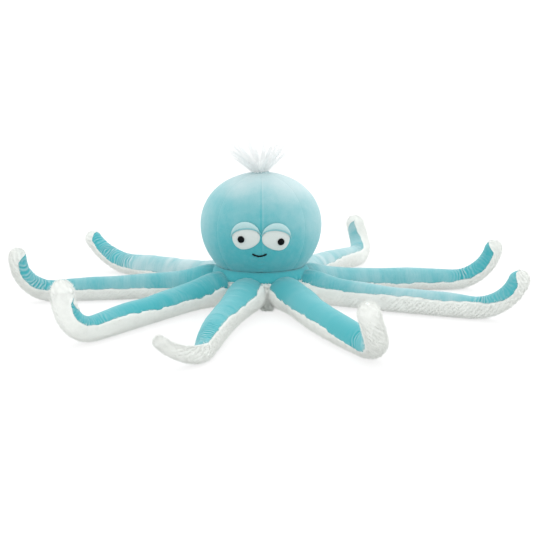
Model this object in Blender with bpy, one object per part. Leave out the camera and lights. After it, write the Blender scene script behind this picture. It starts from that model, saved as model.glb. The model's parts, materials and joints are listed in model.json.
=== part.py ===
"""A stuffed octopus that sits on the floor: a round head of eight gores on a low body, and eight stuffed arms.

Metres, +Z up. The origin is on the floor under the middle of the head, and the face looks along -Y.
Each arm lifts on a hinge where it is sewn to the body, and the head nods in the body's dished top.
"""

import math

import bmesh
import bpy
from mathutils import Matrix, Vector

# Clearances
GAP = 0.0003
OVERRUN = 0.004

# Cloth and fur
VELBOA = 0.002
FUR_BACKING = 0.0045
FLOOR_FLAT = 0.0005
FILLING_GAP = 0.0008
SEAM_GAP = 0.0007

# Head, a ball whose lower half is round about the nod axis
HEAD_RADIUS = 0.1075
HEAD_TOP_RISE = 0.0915
HEAD_CROWN_POWER = 0.93
GORES = 8
GORE_COLUMNS = 3
GORE_ROWS = 10
GORE_HEM_TUCK = 0.010
SKIRT_ROWS = 4
SEAM_DIP = 0.0008
NECK_RUNNING_GAP = 0.0008

# Tuft of long hair in the opening at the crown
TUFT_NECK_RADIUS = 0.0125
TUFT_SPREAD_RADIUS = 0.036
TUFT_HEIGHT = 0.056
TUFT_SIDES = 20
TUFT_SHAPE_SHARES = [(1.0, 0.0), (1.0, 0.08), (1.35, 0.20), (2.05, 0.42), (2.8, 0.66), (2.45, 0.86), (1.2, 0.97)]

# Body, whose collar rises a little above the arms' roots and holds the head in its neck opening
NECK_RADIUS = 0.07565
COLLAR_WIDTH = 0.00435
COLLAR_RISE = 0.0199
COLLAR_THICKNESS = 0.0055
COLLAR_ROUNDING = 0.0020
DISH_STEPS = 5
BODY_SIDES = 32
BODY_SEAM_ANGLE = -15
BODY_TOP_HUG_ANGLE = 40
BODY_BASE_HUG_ANGLE = -50
BODY_HUG_STEPS = 6
LIFT_LIMIT = 50

# Arms
ARM_STANDOFF = 0.0100
ARM_ROOT_CLEARANCE = 0.0020
ARM_ROOT_HEIGHT = 0.0490
ARM_LENGTH = 0.400
CURL_LENGTH = 0.110
ARM_MID_HEIGHT = 0.0430
ARM_MID_WIDTH = 0.0445
ARM_TIP_THICKNESS = 0.0380
ARM_TAPER_LENGTH = 0.190
ARM_BEND_LENGTH = 0.100
FIRST_ARM_AZIMUTH = -62
ARM_SPACING = 41
BACK_OPENING = 30
ROOT_OPEN_SHARE = 0.72
TIP_CLOSE_SHARE = 0.975
INNER_LEAST_SHARE = 0.30
PANEL_HALF_ANGLE = 98
TONGUE_HALF_ANGLE = 42
TONGUE_LENGTH = 0.060
OUTER_STEPS = 6
INNER_STEPS = 4
STRAIGHT_RINGS = 5
CURL_RINGS = 6
TIP_RINGS = 3
CENTRE_STEPS = 8

# Face
EYE_GAP = 0.0030
EYE_WIDTH = 0.0490
EYE_DROP = 0.0075
EYE_LEFT_DROP = 0.0020
EYE_DEPTH = 0.0230
EYE_UNDER_LID = 0.0030
EYE_FULLNESS_SHARE = 0.22
EYE_END_SHARE = 0.16
EYE_COLUMNS = 10
EYE_ROWS = 4
FELT = 0.0012
LID_RIM_RISE = 0.0127
LID_TOP_RISE = 0.0258
LID_END_RISE = 0.0020
LID_SLANT = -7
LID_THICKNESS = 0.0024
LID_COLUMNS = 10
LID_ROWS = 3
PUPIL_DIAMETER = 0.0120
PUPIL_DOME = 0.0042
PUPIL_OUT = 0.0085
PUPIL_DROP = 0.0044
PUPIL_LEFT_DROP = 0.0020
SHANK_DIAMETER = 0.0040
SHANK_LENGTH = 0.0110
SHANK_FIT = 0.0004
WASHER_DIAMETER = 0.0150
WASHER_THICKNESS = 0.0016
TURNED_SIDES = 16
DOME_STEPS = 3
MOUTH_WIDTH = 0.0240
MOUTH_DEPTH = 0.0044
MOUTH_DROP = 0.0368
MOUTH_OFFSET = -0.0025
MOUTH_THREAD = 0.0014
MOUTH_STEPS = 10
THREAD_SIDES = 6

PILE_ROUGHNESS = 0.85


def clear_scene():
    for obj in list(bpy.data.objects):
        bpy.data.objects.remove(obj, do_unlink=True)


def material(name, colour, roughness, metallic=0.0):
    """A Principled material of one colour, made once and shared by name."""
    made = bpy.data.materials.get(name)
    if made:
        return made
    made = bpy.data.materials.new(name)
    made.use_nodes = True
    shader = made.node_tree.nodes["Principled BSDF"]
    shader.inputs["Base Color"].default_value = (*colour, 1.0)
    shader.inputs["Roughness"].default_value = roughness
    shader.inputs["Metallic"].default_value = metallic
    made.diffuse_color = (*colour, 1.0)
    return made


def teal_velboa():
    return material("teal_velboa", (0.055, 0.36, 0.41), PILE_ROUGHNESS)


def white_fur():
    return material("white_fur", (0.80, 0.80, 0.77), PILE_ROUGHNESS)


def fibre_filling():
    return material("fibre_filling", (0.86, 0.86, 0.84), PILE_ROUGHNESS)


def white_felt():
    return material("white_felt", (0.72, 0.75, 0.73), 0.9)


def lid_satin():
    return material("lid_satin", (0.28, 0.58, 0.62), 0.45)


def black_plastic():
    return material("black_plastic", (0.012, 0.012, 0.013), 0.15)


def washer_plastic():
    return material("washer_plastic", (0.75, 0.75, 0.72), 0.4)


def black_thread():
    return material("black_thread", (0.015, 0.015, 0.016), 0.7)


def node(name, points, faces, stuff, pivot=None):
    """An object of these world points, with its normals outwards and its origin at the pivot."""
    mesh = bpy.data.meshes.new(name)
    work = bmesh.new()
    verts = [work.verts.new(point) for point in points]
    for face in faces:
        work.faces.new([verts[i] for i in face])
    bmesh.ops.triangulate(work, faces=work.faces, quad_method="SHORT_EDGE", ngon_method="EAR_CLIP")
    bmesh.ops.recalc_face_normals(work, faces=work.faces)
    work.to_mesh(mesh)
    work.free()
    obj = bpy.data.objects.new(name, mesh)
    bpy.context.scene.collection.objects.link(obj)
    if pivot is not None:
        mesh.transform(Matrix.Translation(-pivot))
        obj.location = pivot
    mesh.shade_smooth()
    mesh.set_sharp_from_angle(angle=math.radians(50))
    mesh.materials.append(stuff)
    return obj


def arcs_strip(first, outer, inner):
    """Triangles between an outer arc of points and the inner arc that follows it back."""
    last = first + outer + inner - 1
    triangles = []
    out = 0
    back = 0
    while out < outer - 1 or back < inner - 1:
        if (out + 1) * (inner - 1) <= (back + 1) * (outer - 1):
            triangles.append((first + out, first + out + 1, last - back))
            out += 1
        else:
            triangles.append((first + out, last - back - 1, last - back))
            back += 1
    return triangles


def tube_faces(rings, count, outer=None):
    """Faces of a tube of closed rings with the same count of points, and its two end caps.

    A hollow ring is an outer arc and an inner arc back, and its caps are strips between the two, because
    such a cap may be curved. The caps of other rings are flat.
    """
    faces = []
    for ring in range(rings - 1):
        for i in range(count):
            j = (i + 1) % count
            low = ring * count
            high = low + count
            faces.append((low + i, low + j, high + j, high + i))
    for first in (0, (rings - 1) * count):
        if outer:
            faces += arcs_strip(first, outer, count - outer)
        else:
            faces.append(tuple(range(first, first + count)))
    return faces


def turned(name, profile, sides, stuff, pivot=None):
    """A closed solid turned about Z from a loop of (radius, height); a zero radius is a point on the axis."""
    points = []
    columns = []
    for radius, height in profile:
        if radius == 0:
            points.append((0, 0, height))
            columns.append([len(points) - 1] * sides)
            continue
        first = len(points)
        for k in range(sides):
            turn = math.tau * k / sides
            points.append((radius * math.cos(turn), radius * math.sin(turn), height))
        columns.append(list(range(first, first + sides)))
    faces = []
    for here, there in zip(columns, columns[1:] + columns[:1]):
        for k in range(sides):
            corner = (here[k], here[(k + 1) % sides], there[(k + 1) % sides], there[k])
            face = tuple(dict.fromkeys(corner))
            if len(face) > 2:
                faces.append(face)
    return node(name, points, faces, stuff, pivot)


def hang_on(obj, parent):
    """Parents without moving: the child's world place stays as it was."""
    place = obj.matrix_world.copy()
    obj.parent = parent
    obj.matrix_parent_inverse = Matrix.Translation(parent.location).inverted()
    obj.matrix_world = place


def empty(name, place):
    holder = bpy.data.objects.new(name, None)
    holder.location = place
    bpy.context.scene.collection.objects.link(holder)
    return holder


# Places worked out from these sizes: the hinge circle of the arms, the collar above it, and the head,
# which rests in the collar's neck opening

ARM_RHO = ARM_ROOT_HEIGHT / 2
PIVOT_HEIGHT = ARM_RHO - FLOOR_FLAT
PIVOT_RADIUS = NECK_RADIUS + COLLAR_WIDTH + ARM_STANDOFF
ARM_ROOT_WIDTH = 2 * PIVOT_RADIUS * math.sin(math.radians(ARM_SPACING / 2)) - ARM_ROOT_CLEARANCE
HUG_SPAN = math.radians(BODY_TOP_HUG_ANGLE - BODY_BASE_HUG_ANGLE)
HUG_RADIUS = (ARM_RHO + GAP) / math.cos(HUG_SPAN / BODY_HUG_STEPS / 2)
COLLAR_RADIUS = NECK_RADIUS + COLLAR_WIDTH
COLLAR_HEIGHT = PIVOT_HEIGHT + HUG_RADIUS * math.sin(math.radians(BODY_TOP_HUG_ANGLE)) + COLLAR_RISE
DISH_RADIUS = HEAD_RADIUS + NECK_RUNNING_GAP
HEAD_CENTRE_HEIGHT = COLLAR_HEIGHT + math.sqrt(DISH_RADIUS**2 - NECK_RADIUS**2)
HEAD_CENTRE = Vector((0, 0, HEAD_CENTRE_HEIGHT))
GORE_HEM_HEIGHT = COLLAR_HEIGHT - GORE_HEM_TUCK


# Head surface



def head_point(azimuth, latitude, inset=0.0):
    """The point of the head's skin at these angles, or one that lies the inset inside it."""
    above = latitude > 0
    rise = HEAD_TOP_RISE if above else HEAD_RADIUS
    out = (HEAD_RADIUS - inset) * math.cos(latitude) ** (HEAD_CROWN_POWER if above else 1)
    up = (rise - inset) * math.sin(latitude)
    return HEAD_CENTRE + Vector((out * math.cos(azimuth), out * math.sin(azimuth), up))


def latitude_at_height(height, inset=0.0):
    return math.asin((height - HEAD_CENTRE_HEIGHT) / (HEAD_RADIUS - inset))


def latitude_at_radius(radius, inset=0.0):
    return math.acos((radius / (HEAD_RADIUS - inset)) ** (1 / HEAD_CROWN_POWER))


def gore_latitudes():
    """Where the gores begin at the neck hem and end at the crown opening."""
    return latitude_at_height(GORE_HEM_HEIGHT), latitude_at_radius(TUFT_NECK_RADIUS + GAP)


def facet_point(azimuth, latitude):
    """The point of the gores' flat facets at these angles, between the four corners of its facet."""
    low, high = gore_latitudes()
    row_span = (high - low) / GORE_ROWS
    column_span = math.tau / (GORES * GORE_COLUMNS)
    up, row = math.modf((latitude - low) / row_span)
    across, column = math.modf((azimuth + math.pi) / column_span)
    corners = []
    for r in (row, row + 1):
        for c in (column, column + 1):
            place = -math.pi + c * column_span
            on_seam = round(place / (math.tau / GORES), 3) % 1 == 0
            corners.append(head_point(place, low + r * row_span, SEAM_DIP if on_seam else 0.0))
    return corners[0].lerp(corners[1], across).lerp(corners[2].lerp(corners[3], across), up)


def gore(index):
    """One of the eight panels of the ball, from the crown opening to the neck hem."""
    half_turn = math.pi / GORES
    middle = -math.pi / 2 + half_turn * (2 * index + 1)
    low, high = gore_latitudes()
    rings = []
    for row in range(GORE_ROWS + 1):
        latitude = low + (high - low) * row / GORE_ROWS
        ring = []
        for inset, order in ((0.0, 1), (VELBOA, -1)):
            seam_gap = GAP / 2 / ((HEAD_RADIUS - inset) * math.cos(latitude))
            reach = half_turn - seam_gap
            columns = range(GORE_COLUMNS + 1)
            for column in columns if order > 0 else reversed(columns):
                across = 2 * column / GORE_COLUMNS - 1
                dip = SEAM_DIP if abs(across) == 1 and order > 0 else 0.0
                ring.append(head_point(middle + reach * across, latitude, inset + dip))
        rings.append(ring)
    count = 2 * (GORE_COLUMNS + 1)
    points = [point for ring in rings for point in ring]
    faces = tube_faces(GORE_ROWS + 1, count, outer=GORE_COLUMNS + 1)
    return node(f"head_gore_{index + 1}", points, faces, teal_velboa(), HEAD_CENTRE)


def head_stuffing():
    """The filling inside the gores, which shows through the neck opening as the ball that rests in the body."""
    inset = VELBOA + GAP
    sides = GORES * GORE_COLUMNS
    low, high = gore_latitudes()
    below = latitude_at_height(GORE_HEM_HEIGHT - GAP)
    angles = []
    for row in range(SKIRT_ROWS):
        angles.append((-math.pi / 2 + (below + math.pi / 2) * (row + 1) / SKIRT_ROWS, 0.0))
    for row in range(GORE_ROWS + 1):
        angles.append((low + (high - low) * row / GORE_ROWS, inset))
    points = [tuple(HEAD_CENTRE - Vector((0, 0, HEAD_RADIUS)))]
    for latitude, depth in angles:
        for k in range(sides):
            azimuth = -math.pi / 2 + math.tau * k / sides
            points.append(tuple(head_point(azimuth, latitude, depth)))
    top_height = head_point(0, high, inset).z
    points.append((0, 0, top_height))
    faces = [(0, 1 + k, 1 + (k + 1) % sides) for k in range(sides)]
    for row in range(len(angles) - 1):
        for k in range(sides):
            low_ring = 1 + row * sides
            high_ring = low_ring + sides
            n = (k + 1) % sides
            faces.append((low_ring + k, low_ring + n, high_ring + n, high_ring + k))
    last = 1 + (len(angles) - 1) * sides
    faces += [(len(points) - 1, last + k, last + (k + 1) % sides) for k in range(sides)]
    return node("head_stuffing", points, faces, fibre_filling(), HEAD_CENTRE)


def tuft():
    """A flared plug of long hair that stands in the opening at the crown."""
    foot = head_point(0, gore_latitudes()[1], VELBOA + GAP).z + GAP
    spread = TUFT_SPREAD_RADIUS / max(share for share, _ in TUFT_SHAPE_SHARES) / TUFT_NECK_RADIUS
    profile = [(0, foot)]
    for wide, tall in TUFT_SHAPE_SHARES:
        grow = 1 + (wide - 1) * spread
        profile.append((TUFT_NECK_RADIUS * grow - GAP, foot + TUFT_HEIGHT * tall))
    profile.append((0, foot + TUFT_HEIGHT))
    return turned("tuft", profile, TUFT_SIDES, white_fur(), HEAD_CENTRE)


# Body


def hug_point(angle, wall=0.0):
    """A point of the body's hollowed side, which goes round the arm's root; the wall takes it further in."""
    turn = math.radians(angle)
    reach = HUG_RADIUS + wall
    return (PIVOT_RADIUS - reach * math.cos(turn), PIVOT_HEIGHT + reach * math.sin(turn))


def hug_arc(first, last, wall=0.0):
    steps = max(2, round(abs(last - first) * BODY_HUG_STEPS / (BODY_TOP_HUG_ANGLE - BODY_BASE_HUG_ANGLE)))
    return [hug_point(first + (last - first) * k / steps, wall) for k in range(steps + 1)]


def dish_radius(height):
    """How wide the body's dished top is at this height."""
    return math.sqrt(DISH_RADIUS**2 - (HEAD_CENTRE_HEIGHT - height) ** 2)


def lift_line_radius(height):
    """How far out the collar may reach at this height and still clear an arm at its lift limit."""
    turn = math.radians(LIFT_LIMIT)
    start_radius = PIVOT_RADIUS - HUG_RADIUS * math.sin(turn)
    start_height = PIVOT_HEIGHT + HUG_RADIUS * math.cos(turn)
    return start_radius + (height - start_height) / math.tan(turn)


def body_top():
    """The teal cover of the body: a collar under the head, and a wall hollowed round the arms."""
    under = COLLAR_HEIGHT - COLLAR_THICKNESS
    low_under = under - COLLAR_THICKNESS
    lip = dish_radius(COLLAR_HEIGHT)
    outside = [
        (lip, COLLAR_HEIGHT),
        (COLLAR_RADIUS - COLLAR_ROUNDING, COLLAR_HEIGHT - COLLAR_ROUNDING / 2),
        (COLLAR_RADIUS, under),
        (min(COLLAR_RADIUS, lift_line_radius(low_under)) - COLLAR_ROUNDING, low_under),
    ]
    outside += hug_arc(BODY_TOP_HUG_ANGLE, BODY_SEAM_ANGLE)
    inside = hug_arc(BODY_SEAM_ANGLE, BODY_TOP_HUG_ANGLE, VELBOA)
    inner_top = under
    inside.append((dish_radius(inner_top), inner_top))
    return turned("body_top", outside + inside, BODY_SIDES, teal_velboa())


def body_base():
    """The fur panel underneath, a shallow cup whose flat bottom is what the toy rests on."""
    seam = BODY_SEAM_ANGLE - math.degrees(GAP / HUG_RADIUS)
    outer_lip = hug_point(BODY_BASE_HUG_ANGLE)
    profile = [(0, 0), (outer_lip[0], 0)]
    profile += hug_arc(BODY_BASE_HUG_ANGLE, seam)
    profile += hug_arc(seam, BODY_BASE_HUG_ANGLE / 2, FUR_BACKING)
    floor_radius = hug_point(BODY_BASE_HUG_ANGLE / 2, FUR_BACKING)[0]
    profile.append((floor_radius, FUR_BACKING))
    profile.append((0, FUR_BACKING))
    return turned("body_base", profile, BODY_SIDES, white_fur())


def body_stuffing():
    """The filling of the body, dished on top where the head sits."""
    clear_top = VELBOA + GAP
    clear_base = FUR_BACKING + GAP
    seam = BODY_SEAM_ANGLE + math.degrees(GAP / HUG_RADIUS)
    floor_angle = BODY_BASE_HUG_ANGLE / 2
    floor_radius = hug_point(floor_angle, clear_base)[0] - GAP
    profile = [(0, clear_base), (floor_radius, clear_base)]
    profile += hug_arc(floor_angle, BODY_SEAM_ANGLE, clear_base)
    profile += hug_arc(seam, BODY_TOP_HUG_ANGLE, clear_top)
    rim = COLLAR_HEIGHT - COLLAR_THICKNESS - 2 * GAP
    rim_radius = dish_radius(rim)
    profile.append((rim_radius - GAP, rim))
    rim_angle = math.asin((rim_radius - GAP) / DISH_RADIUS)
    for step in range(1, DISH_STEPS):
        turn = rim_angle * (1 - step / DISH_STEPS)
        profile.append((DISH_RADIUS * math.sin(turn), HEAD_CENTRE_HEIGHT - DISH_RADIUS * math.cos(turn)))
    profile.append((0, HEAD_CENTRE_HEIGHT - DISH_RADIUS))
    return turned("body_stuffing", profile, BODY_SIDES, fibre_filling())


# Arms, from the front right one anticlockwise as seen from above. The shares are of the usual lengths of
# an arm and its curl, and of the usual thickness in the middle and at the tip. The rest is in degrees: the
# bend turns the arm sideways near the body and the sweep along the whole straight stretch, the curl lifts
# the tip, the roll turns the fur to one side, and the tip's roll turns the curl aside too.

ARMS = [
    dict(
        length_share=1.136, curl_share=1.36, mid_share=1.12, tip_share=0.84,
        bend=-18, sweep=15, curl=103, roll=10, tip_roll=42,
    ),
    dict(
        length_share=1.014, curl_share=1.10, mid_share=0.98, tip_share=0.92,
        bend=-8, sweep=9, curl=83, roll=-29, tip_roll=16,
    ),
    dict(
        length_share=0.997, curl_share=1.11, mid_share=0.95, tip_share=0.88,
        bend=-3, sweep=-15, curl=93, roll=0, tip_roll=16,
    ),
    dict(
        length_share=0.994, curl_share=1.17, mid_share=1.06, tip_share=0.98,
        bend=6, sweep=-19, curl=123, roll=0, tip_roll=-49,
    ),
    dict(
        length_share=0.969, curl_share=1.36, mid_share=1.11, tip_share=0.80,
        bend=16, sweep=-3, curl=46, roll=0, tip_roll=10,
    ),
    dict(
        length_share=0.999, curl_share=1.12, mid_share=1.02, tip_share=0.85,
        bend=18, sweep=-3, curl=110, roll=11, tip_roll=-19,
    ),
    dict(
        length_share=1.065, curl_share=1.19, mid_share=1.05, tip_share=0.98,
        bend=22, sweep=0, curl=104, roll=10, tip_roll=-5,
    ),
    dict(
        length_share=1.027, curl_share=0.92, mid_share=1.00, tip_share=0.60,
        bend=0, sweep=8, curl=104, roll=10, tip_roll=65,
    ),
]


def arm_length(index):
    return ARM_LENGTH * ARMS[index]["length_share"]


def curl_length(index):
    return CURL_LENGTH * ARMS[index]["curl_share"]


def smooth_step(share):
    share = min(max(share, 0.0), 1.0)
    return share * share * (3 - 2 * share)


def arm_azimuth(index):
    """The way an arm leaves the body: evenly spaced, apart from the wider opening at the back."""
    behind = BACK_OPENING if index >= len(ARMS) / 2 else 0
    return math.radians(FIRST_ARM_AZIMUTH + ARM_SPACING * index + behind)


def tip_thickness(index):
    return ARM_TIP_THICKNESS * ARMS[index]["tip_share"]


def arm_half_sizes(index, along):
    """Half height and half width of an arm's section at this length from its pivot."""
    length = arm_length(index)
    mid_height = ARM_MID_HEIGHT * (1 + ARMS[index]["mid_share"]) / 2
    mid_width = ARM_MID_WIDTH * ARMS[index]["mid_share"]
    if along <= 0:
        round_off = math.sqrt(max(0.0, 1 - (along / ARM_RHO) ** 2))
        return ARM_RHO * round_off, ARM_ROOT_WIDTH / 2 * round_off
    taper = smooth_step(along / ARM_TAPER_LENGTH)
    height = ARM_ROOT_HEIGHT + (mid_height - ARM_ROOT_HEIGHT) * taper
    width = ARM_ROOT_WIDTH + (mid_width - ARM_ROOT_WIDTH) * taper
    late = smooth_step((along - ARM_TAPER_LENGTH) / (length - ARM_TAPER_LENGTH))
    height += (tip_thickness(index) - mid_height) * late
    width += (tip_thickness(index) - mid_width) * late
    tip = tip_thickness(index) / 2
    into_tip = (along - (length - tip)) / tip
    round_off = math.sqrt(1 - into_tip**2) if into_tip > 0 else 1.0
    return height / 2 * round_off, width / 2 * round_off


def arm_stations(index):
    """Lengths from the pivot at which an arm has a ring, closer together where it curls and closes."""
    length = arm_length(index)
    tip = tip_thickness(index) / 2
    curl_start = length - curl_length(index)
    tip_start = length - tip
    stations = [-ARM_RHO * ROOT_OPEN_SHARE, 0.0]
    stations += [curl_start * k / STRAIGHT_RINGS for k in range(1, STRAIGHT_RINGS + 1)]
    stations += [curl_start + (tip_start - curl_start) * k / CURL_RINGS for k in range(1, CURL_RINGS + 1)]
    last = math.asin(TIP_CLOSE_SHARE)
    stations += [tip_start + tip * math.sin(last * k / TIP_RINGS) for k in range(1, TIP_RINGS + 1)]
    return stations


def arm_headings(index, along):
    """Plan heading and pitch at this length: bend and sweep, then the curl, turned aside by the tip's roll."""
    arm = ARMS[index]
    curl_start = arm_length(index) - curl_length(index)
    heading = arm_azimuth(index) + math.radians(arm["bend"]) * smooth_step(along / ARM_BEND_LENGTH)
    heading += math.radians(arm["sweep"]) * smooth_step(along / curl_start)
    into_curl = max(0.0, (along - curl_start) / curl_length(index))
    curl = math.radians(arm["curl"]) * into_curl
    tip_roll = math.radians(arm["tip_roll"])
    return heading - curl * math.sin(tip_roll), curl * math.cos(tip_roll)


def arm_frames(index):
    """For each ring: its centre, its way along, its upper side, its left side and its half sizes."""
    arm = ARMS[index]
    length = arm_length(index)
    azimuth = arm_azimuth(index)
    centre = Vector((PIVOT_RADIUS * math.cos(azimuth), PIVOT_RADIUS * math.sin(azimuth), 0))
    lift = 0.0
    last = 0.0
    frames = []
    for along in arm_stations(index):
        if along < 0:
            place = centre + Vector((math.cos(azimuth), math.sin(azimuth), 0)) * along
        else:
            stride = (along - last) / CENTRE_STEPS
            for k in range(CENTRE_STEPS):
                heading, pitch = arm_headings(index, last + stride * (k + 0.5))
                flat = Vector((math.cos(heading), math.sin(heading), 0))
                centre = centre + flat * stride * math.cos(pitch)
                lift += stride * math.sin(pitch)
            last = along
            place = centre
        heading, pitch = arm_headings(index, max(along, 0.0))
        left = Vector((-math.sin(heading), math.cos(heading), 0))
        level = Vector((math.cos(heading), math.sin(heading), 0))
        ahead = level * math.cos(pitch) + Vector((0, 0, math.sin(pitch)))
        upper = ahead.cross(left)
        into_curl = (along - length + curl_length(index)) / curl_length(index)
        roll_share = smooth_step(along / ARM_TAPER_LENGTH)
        roll = arm["roll"] * roll_share + (arm["tip_roll"] - arm["roll"]) * smooth_step(into_curl)
        turn = Matrix.Rotation(math.radians(roll), 3, ahead)
        height, width = arm_half_sizes(index, along)
        open_along = min(max(along, 0.0), length - tip_thickness(index) / 2)
        open_height, _ = arm_half_sizes(index, open_along)
        place = place + Vector((0, 0, open_height - FLOOR_FLAT + lift))
        frames.append((place, ahead, turn @ upper, turn @ left, height, width, along))
    return frames


def section_point(frame, angle, inset):
    """A point of an arm's section; the angle is from the upper side's middle, towards the left."""
    place, _, upper, left, height, width, _ = frame
    turn = math.radians(angle)
    inner_height = max(height - inset, height * INNER_LEAST_SHARE)
    inner_width = max(width - inset, width * INNER_LEAST_SHARE)
    point = place + upper * inner_height * math.cos(turn) + left * inner_width * math.sin(turn)
    point.z = max(point.z, 0.0)
    return point


def top_half_angle(along, length):
    """Half of the turn that the teal panel covers, which narrows to a tongue at the tip."""
    into_tongue = smooth_step((along - (length - TONGUE_LENGTH)) / TONGUE_LENGTH)
    return PANEL_HALF_ANGLE + (TONGUE_HALF_ANGLE - PANEL_HALF_ANGLE) * into_tongue


def seam_angle(frame):
    """The turn that the gap between the two panels takes up at this ring."""
    return math.degrees(SEAM_GAP / frame[4])


def arc(first, last, steps):
    return [first + (last - first) * k / steps for k in range(steps + 1)]


def arm_panel(index, frames, name, thickness, stuff, underneath, pivot):
    """A half tube: the outer arc of each ring, then the inner arc back."""
    points = []
    for frame in frames:
        half = top_half_angle(frame[-1], arm_length(index))
        if underneath:
            first, last = half + seam_angle(frame), 360 - half - seam_angle(frame)
        else:
            first, last = -half, half
        points += [section_point(frame, angle, 0.0) for angle in arc(first, last, OUTER_STEPS)]
        points += [section_point(frame, angle, thickness) for angle in arc(last, first, INNER_STEPS)]
    count = OUTER_STEPS + INNER_STEPS + 2
    faces = tube_faces(len(frames), count, outer=OUTER_STEPS + 1)
    return node(name, points, faces, stuff, pivot)


def arm_stuffing(index, frames, pivot):
    """The core of an arm, a gap inside both panels."""
    length = arm_length(index)
    points = []
    inner = [frame for frame in frames if frame[-1] <= length - tip_thickness(index) / 2]
    for frame in inner:
        half = top_half_angle(frame[-1], length)
        top = arc(-half, half, INNER_STEPS)[1:-1]
        seam = seam_angle(frame)
        low = arc(half + seam, 360 - half - seam, INNER_STEPS)
        step = half - 2 * seam
        points.append(section_point(frame, -step, VELBOA + 2 * FILLING_GAP))
        points += [section_point(frame, angle, VELBOA + FILLING_GAP) for angle in top]
        points.append(section_point(frame, step, VELBOA + 2 * FILLING_GAP))
        points += [section_point(frame, angle, FUR_BACKING + FILLING_GAP) for angle in low]
    count = 2 * (INNER_STEPS + 1)
    name = f"arm_{index + 1}_stuffing"
    return node(name, points, tube_faces(len(inner), count), fibre_filling(), pivot)


def build_arm(index):
    azimuth = arm_azimuth(index)
    pivot = Vector((PIVOT_RADIUS * math.cos(azimuth), PIVOT_RADIUS * math.sin(azimuth), PIVOT_HEIGHT))
    frames = arm_frames(index)
    name = f"arm_{index + 1}"
    holder = empty(f"{name}_hinge", pivot)
    pieces = [
        arm_panel(index, frames, f"{name}_top_panel", VELBOA, teal_velboa(), False, pivot),
        arm_panel(index, frames, f"{name}_under_panel", FUR_BACKING, white_fur(), True, pivot),
        arm_stuffing(index, frames, pivot),
    ]
    for piece in pieces:
        hang_on(piece, holder)


# Face. A place on the face is (across, height): across is along the skin from the middle, to the right
# in the picture, and height is above the floor.


def face_angles(across, height):
    """Azimuth and latitude of a place on the face."""
    rise = HEAD_TOP_RISE if height > HEAD_CENTRE_HEIGHT else HEAD_RADIUS
    latitude = math.asin((height - HEAD_CENTRE_HEIGHT) / rise)
    return -math.pi / 2 + across / (HEAD_RADIUS * math.cos(latitude)), latitude


def face_point(across, height, raise_by):
    """The point above the front of the head at this place, raised out of the skin."""
    azimuth, latitude = face_angles(across, height)
    return head_point(azimuth, latitude, -raise_by)


def patch(name, rows, low, thick, stuff):
    """A closed patch on the face: rows of places, each row as long as the others, thickened outwards."""
    columns = len(rows[0])
    points = [face_point(across, height, low) for row in rows for across, height in row]
    points += [face_point(across, height, low + thick) for row in rows for across, height in row]
    top = len(rows) * columns
    faces = []
    for r in range(len(rows) - 1):
        for c in range(columns - 1):
            a = r * columns + c
            quad = (a, a + 1, a + columns + 1, a + columns)
            faces.append(quad)
            faces.append(tuple(top + i for i in reversed(quad)))
    edge = [c for c in range(columns)]
    edge += [r * columns + columns - 1 for r in range(1, len(rows))]
    edge += [(len(rows) - 1) * columns + c for c in range(columns - 2, -1, -1)]
    edge += [r * columns for r in range(len(rows) - 2, 0, -1)]
    for a, b in zip(edge, edge[1:] + edge[:1]):
        faces.append((a, top + a, top + b, b))
    return node(name, points, faces, stuff, HEAD_CENTRE)


def eye_level(side):
    """The height of an eye's widest line; the left one sits a little lower."""
    return HEAD_CENTRE_HEIGHT - EYE_DROP - (EYE_LEFT_DROP if side > 0 else 0)


def eye_place(side, along, above, slant=0.0):
    """A place near an eye's widest line; along runs outwards from the nose."""
    turn = math.radians(slant)
    out = along * math.cos(turn) - above * math.sin(turn)
    up = along * math.sin(turn) + above * math.cos(turn)
    return (side * ((EYE_GAP + EYE_WIDTH) / 2 + out), eye_level(side) + up)


def round_arch(share):
    """The height of a round arch of height 1 at a share from one end, -1, to the other, 1."""
    return max(math.sqrt(max(0.0, 1 - share * share)), EYE_END_SHARE)


def eye_white(side, word):
    """A rounded drop of felt, fuller at its outer side, whose upper edge lies under the lid."""
    rows = []
    for r in range(EYE_ROWS + 1):
        tall = r / EYE_ROWS
        row = []
        for c in range(EYE_COLUMNS + 1):
            share = -math.cos(math.pi * c / EYE_COLUMNS)
            low = -EYE_DEPTH * round_arch(share) * (1 + EYE_FULLNESS_SHARE * share * (1 - share * share) ** 0.5)
            high = (LID_RIM_RISE + EYE_UNDER_LID) * round_arch(share)
            row.append(eye_place(side, EYE_WIDTH / 2 * share, low + (high - low) * tall))
        rows.append(row)
    return patch(f"eye_white_{word}", rows, GAP, FELT, white_felt())


def eyelid(side, word):
    """A padded crescent over the upper edge of the white."""
    rows = []
    for r in range(LID_ROWS + 1):
        tall = r / LID_ROWS
        row = []
        for c in range(LID_COLUMNS + 1):
            share = -math.cos(math.pi * c / LID_COLUMNS)
            low = LID_END_RISE + (LID_RIM_RISE - LID_END_RISE) * round_arch(share)
            high = low + (LID_TOP_RISE - LID_RIM_RISE) * round_arch(share)
            row.append(eye_place(side, EYE_WIDTH / 2 * share, low + (high - low) * tall, LID_SLANT))
        rows.append(row)
    return patch(f"eyelid_{word}", rows, FELT + 2 * GAP, LID_THICKNESS, lid_satin())


def pupil_axis(side):
    """The pupil's foot on the skin and its way out."""
    level = eye_level(side) - PUPIL_DROP - (PUPIL_LEFT_DROP if side > 0 else 0)
    foot = face_point(side * ((EYE_GAP + EYE_WIDTH) / 2 + PUPIL_OUT), level, 0.0)
    return foot, (foot - HEAD_CENTRE).normalized()


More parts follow.
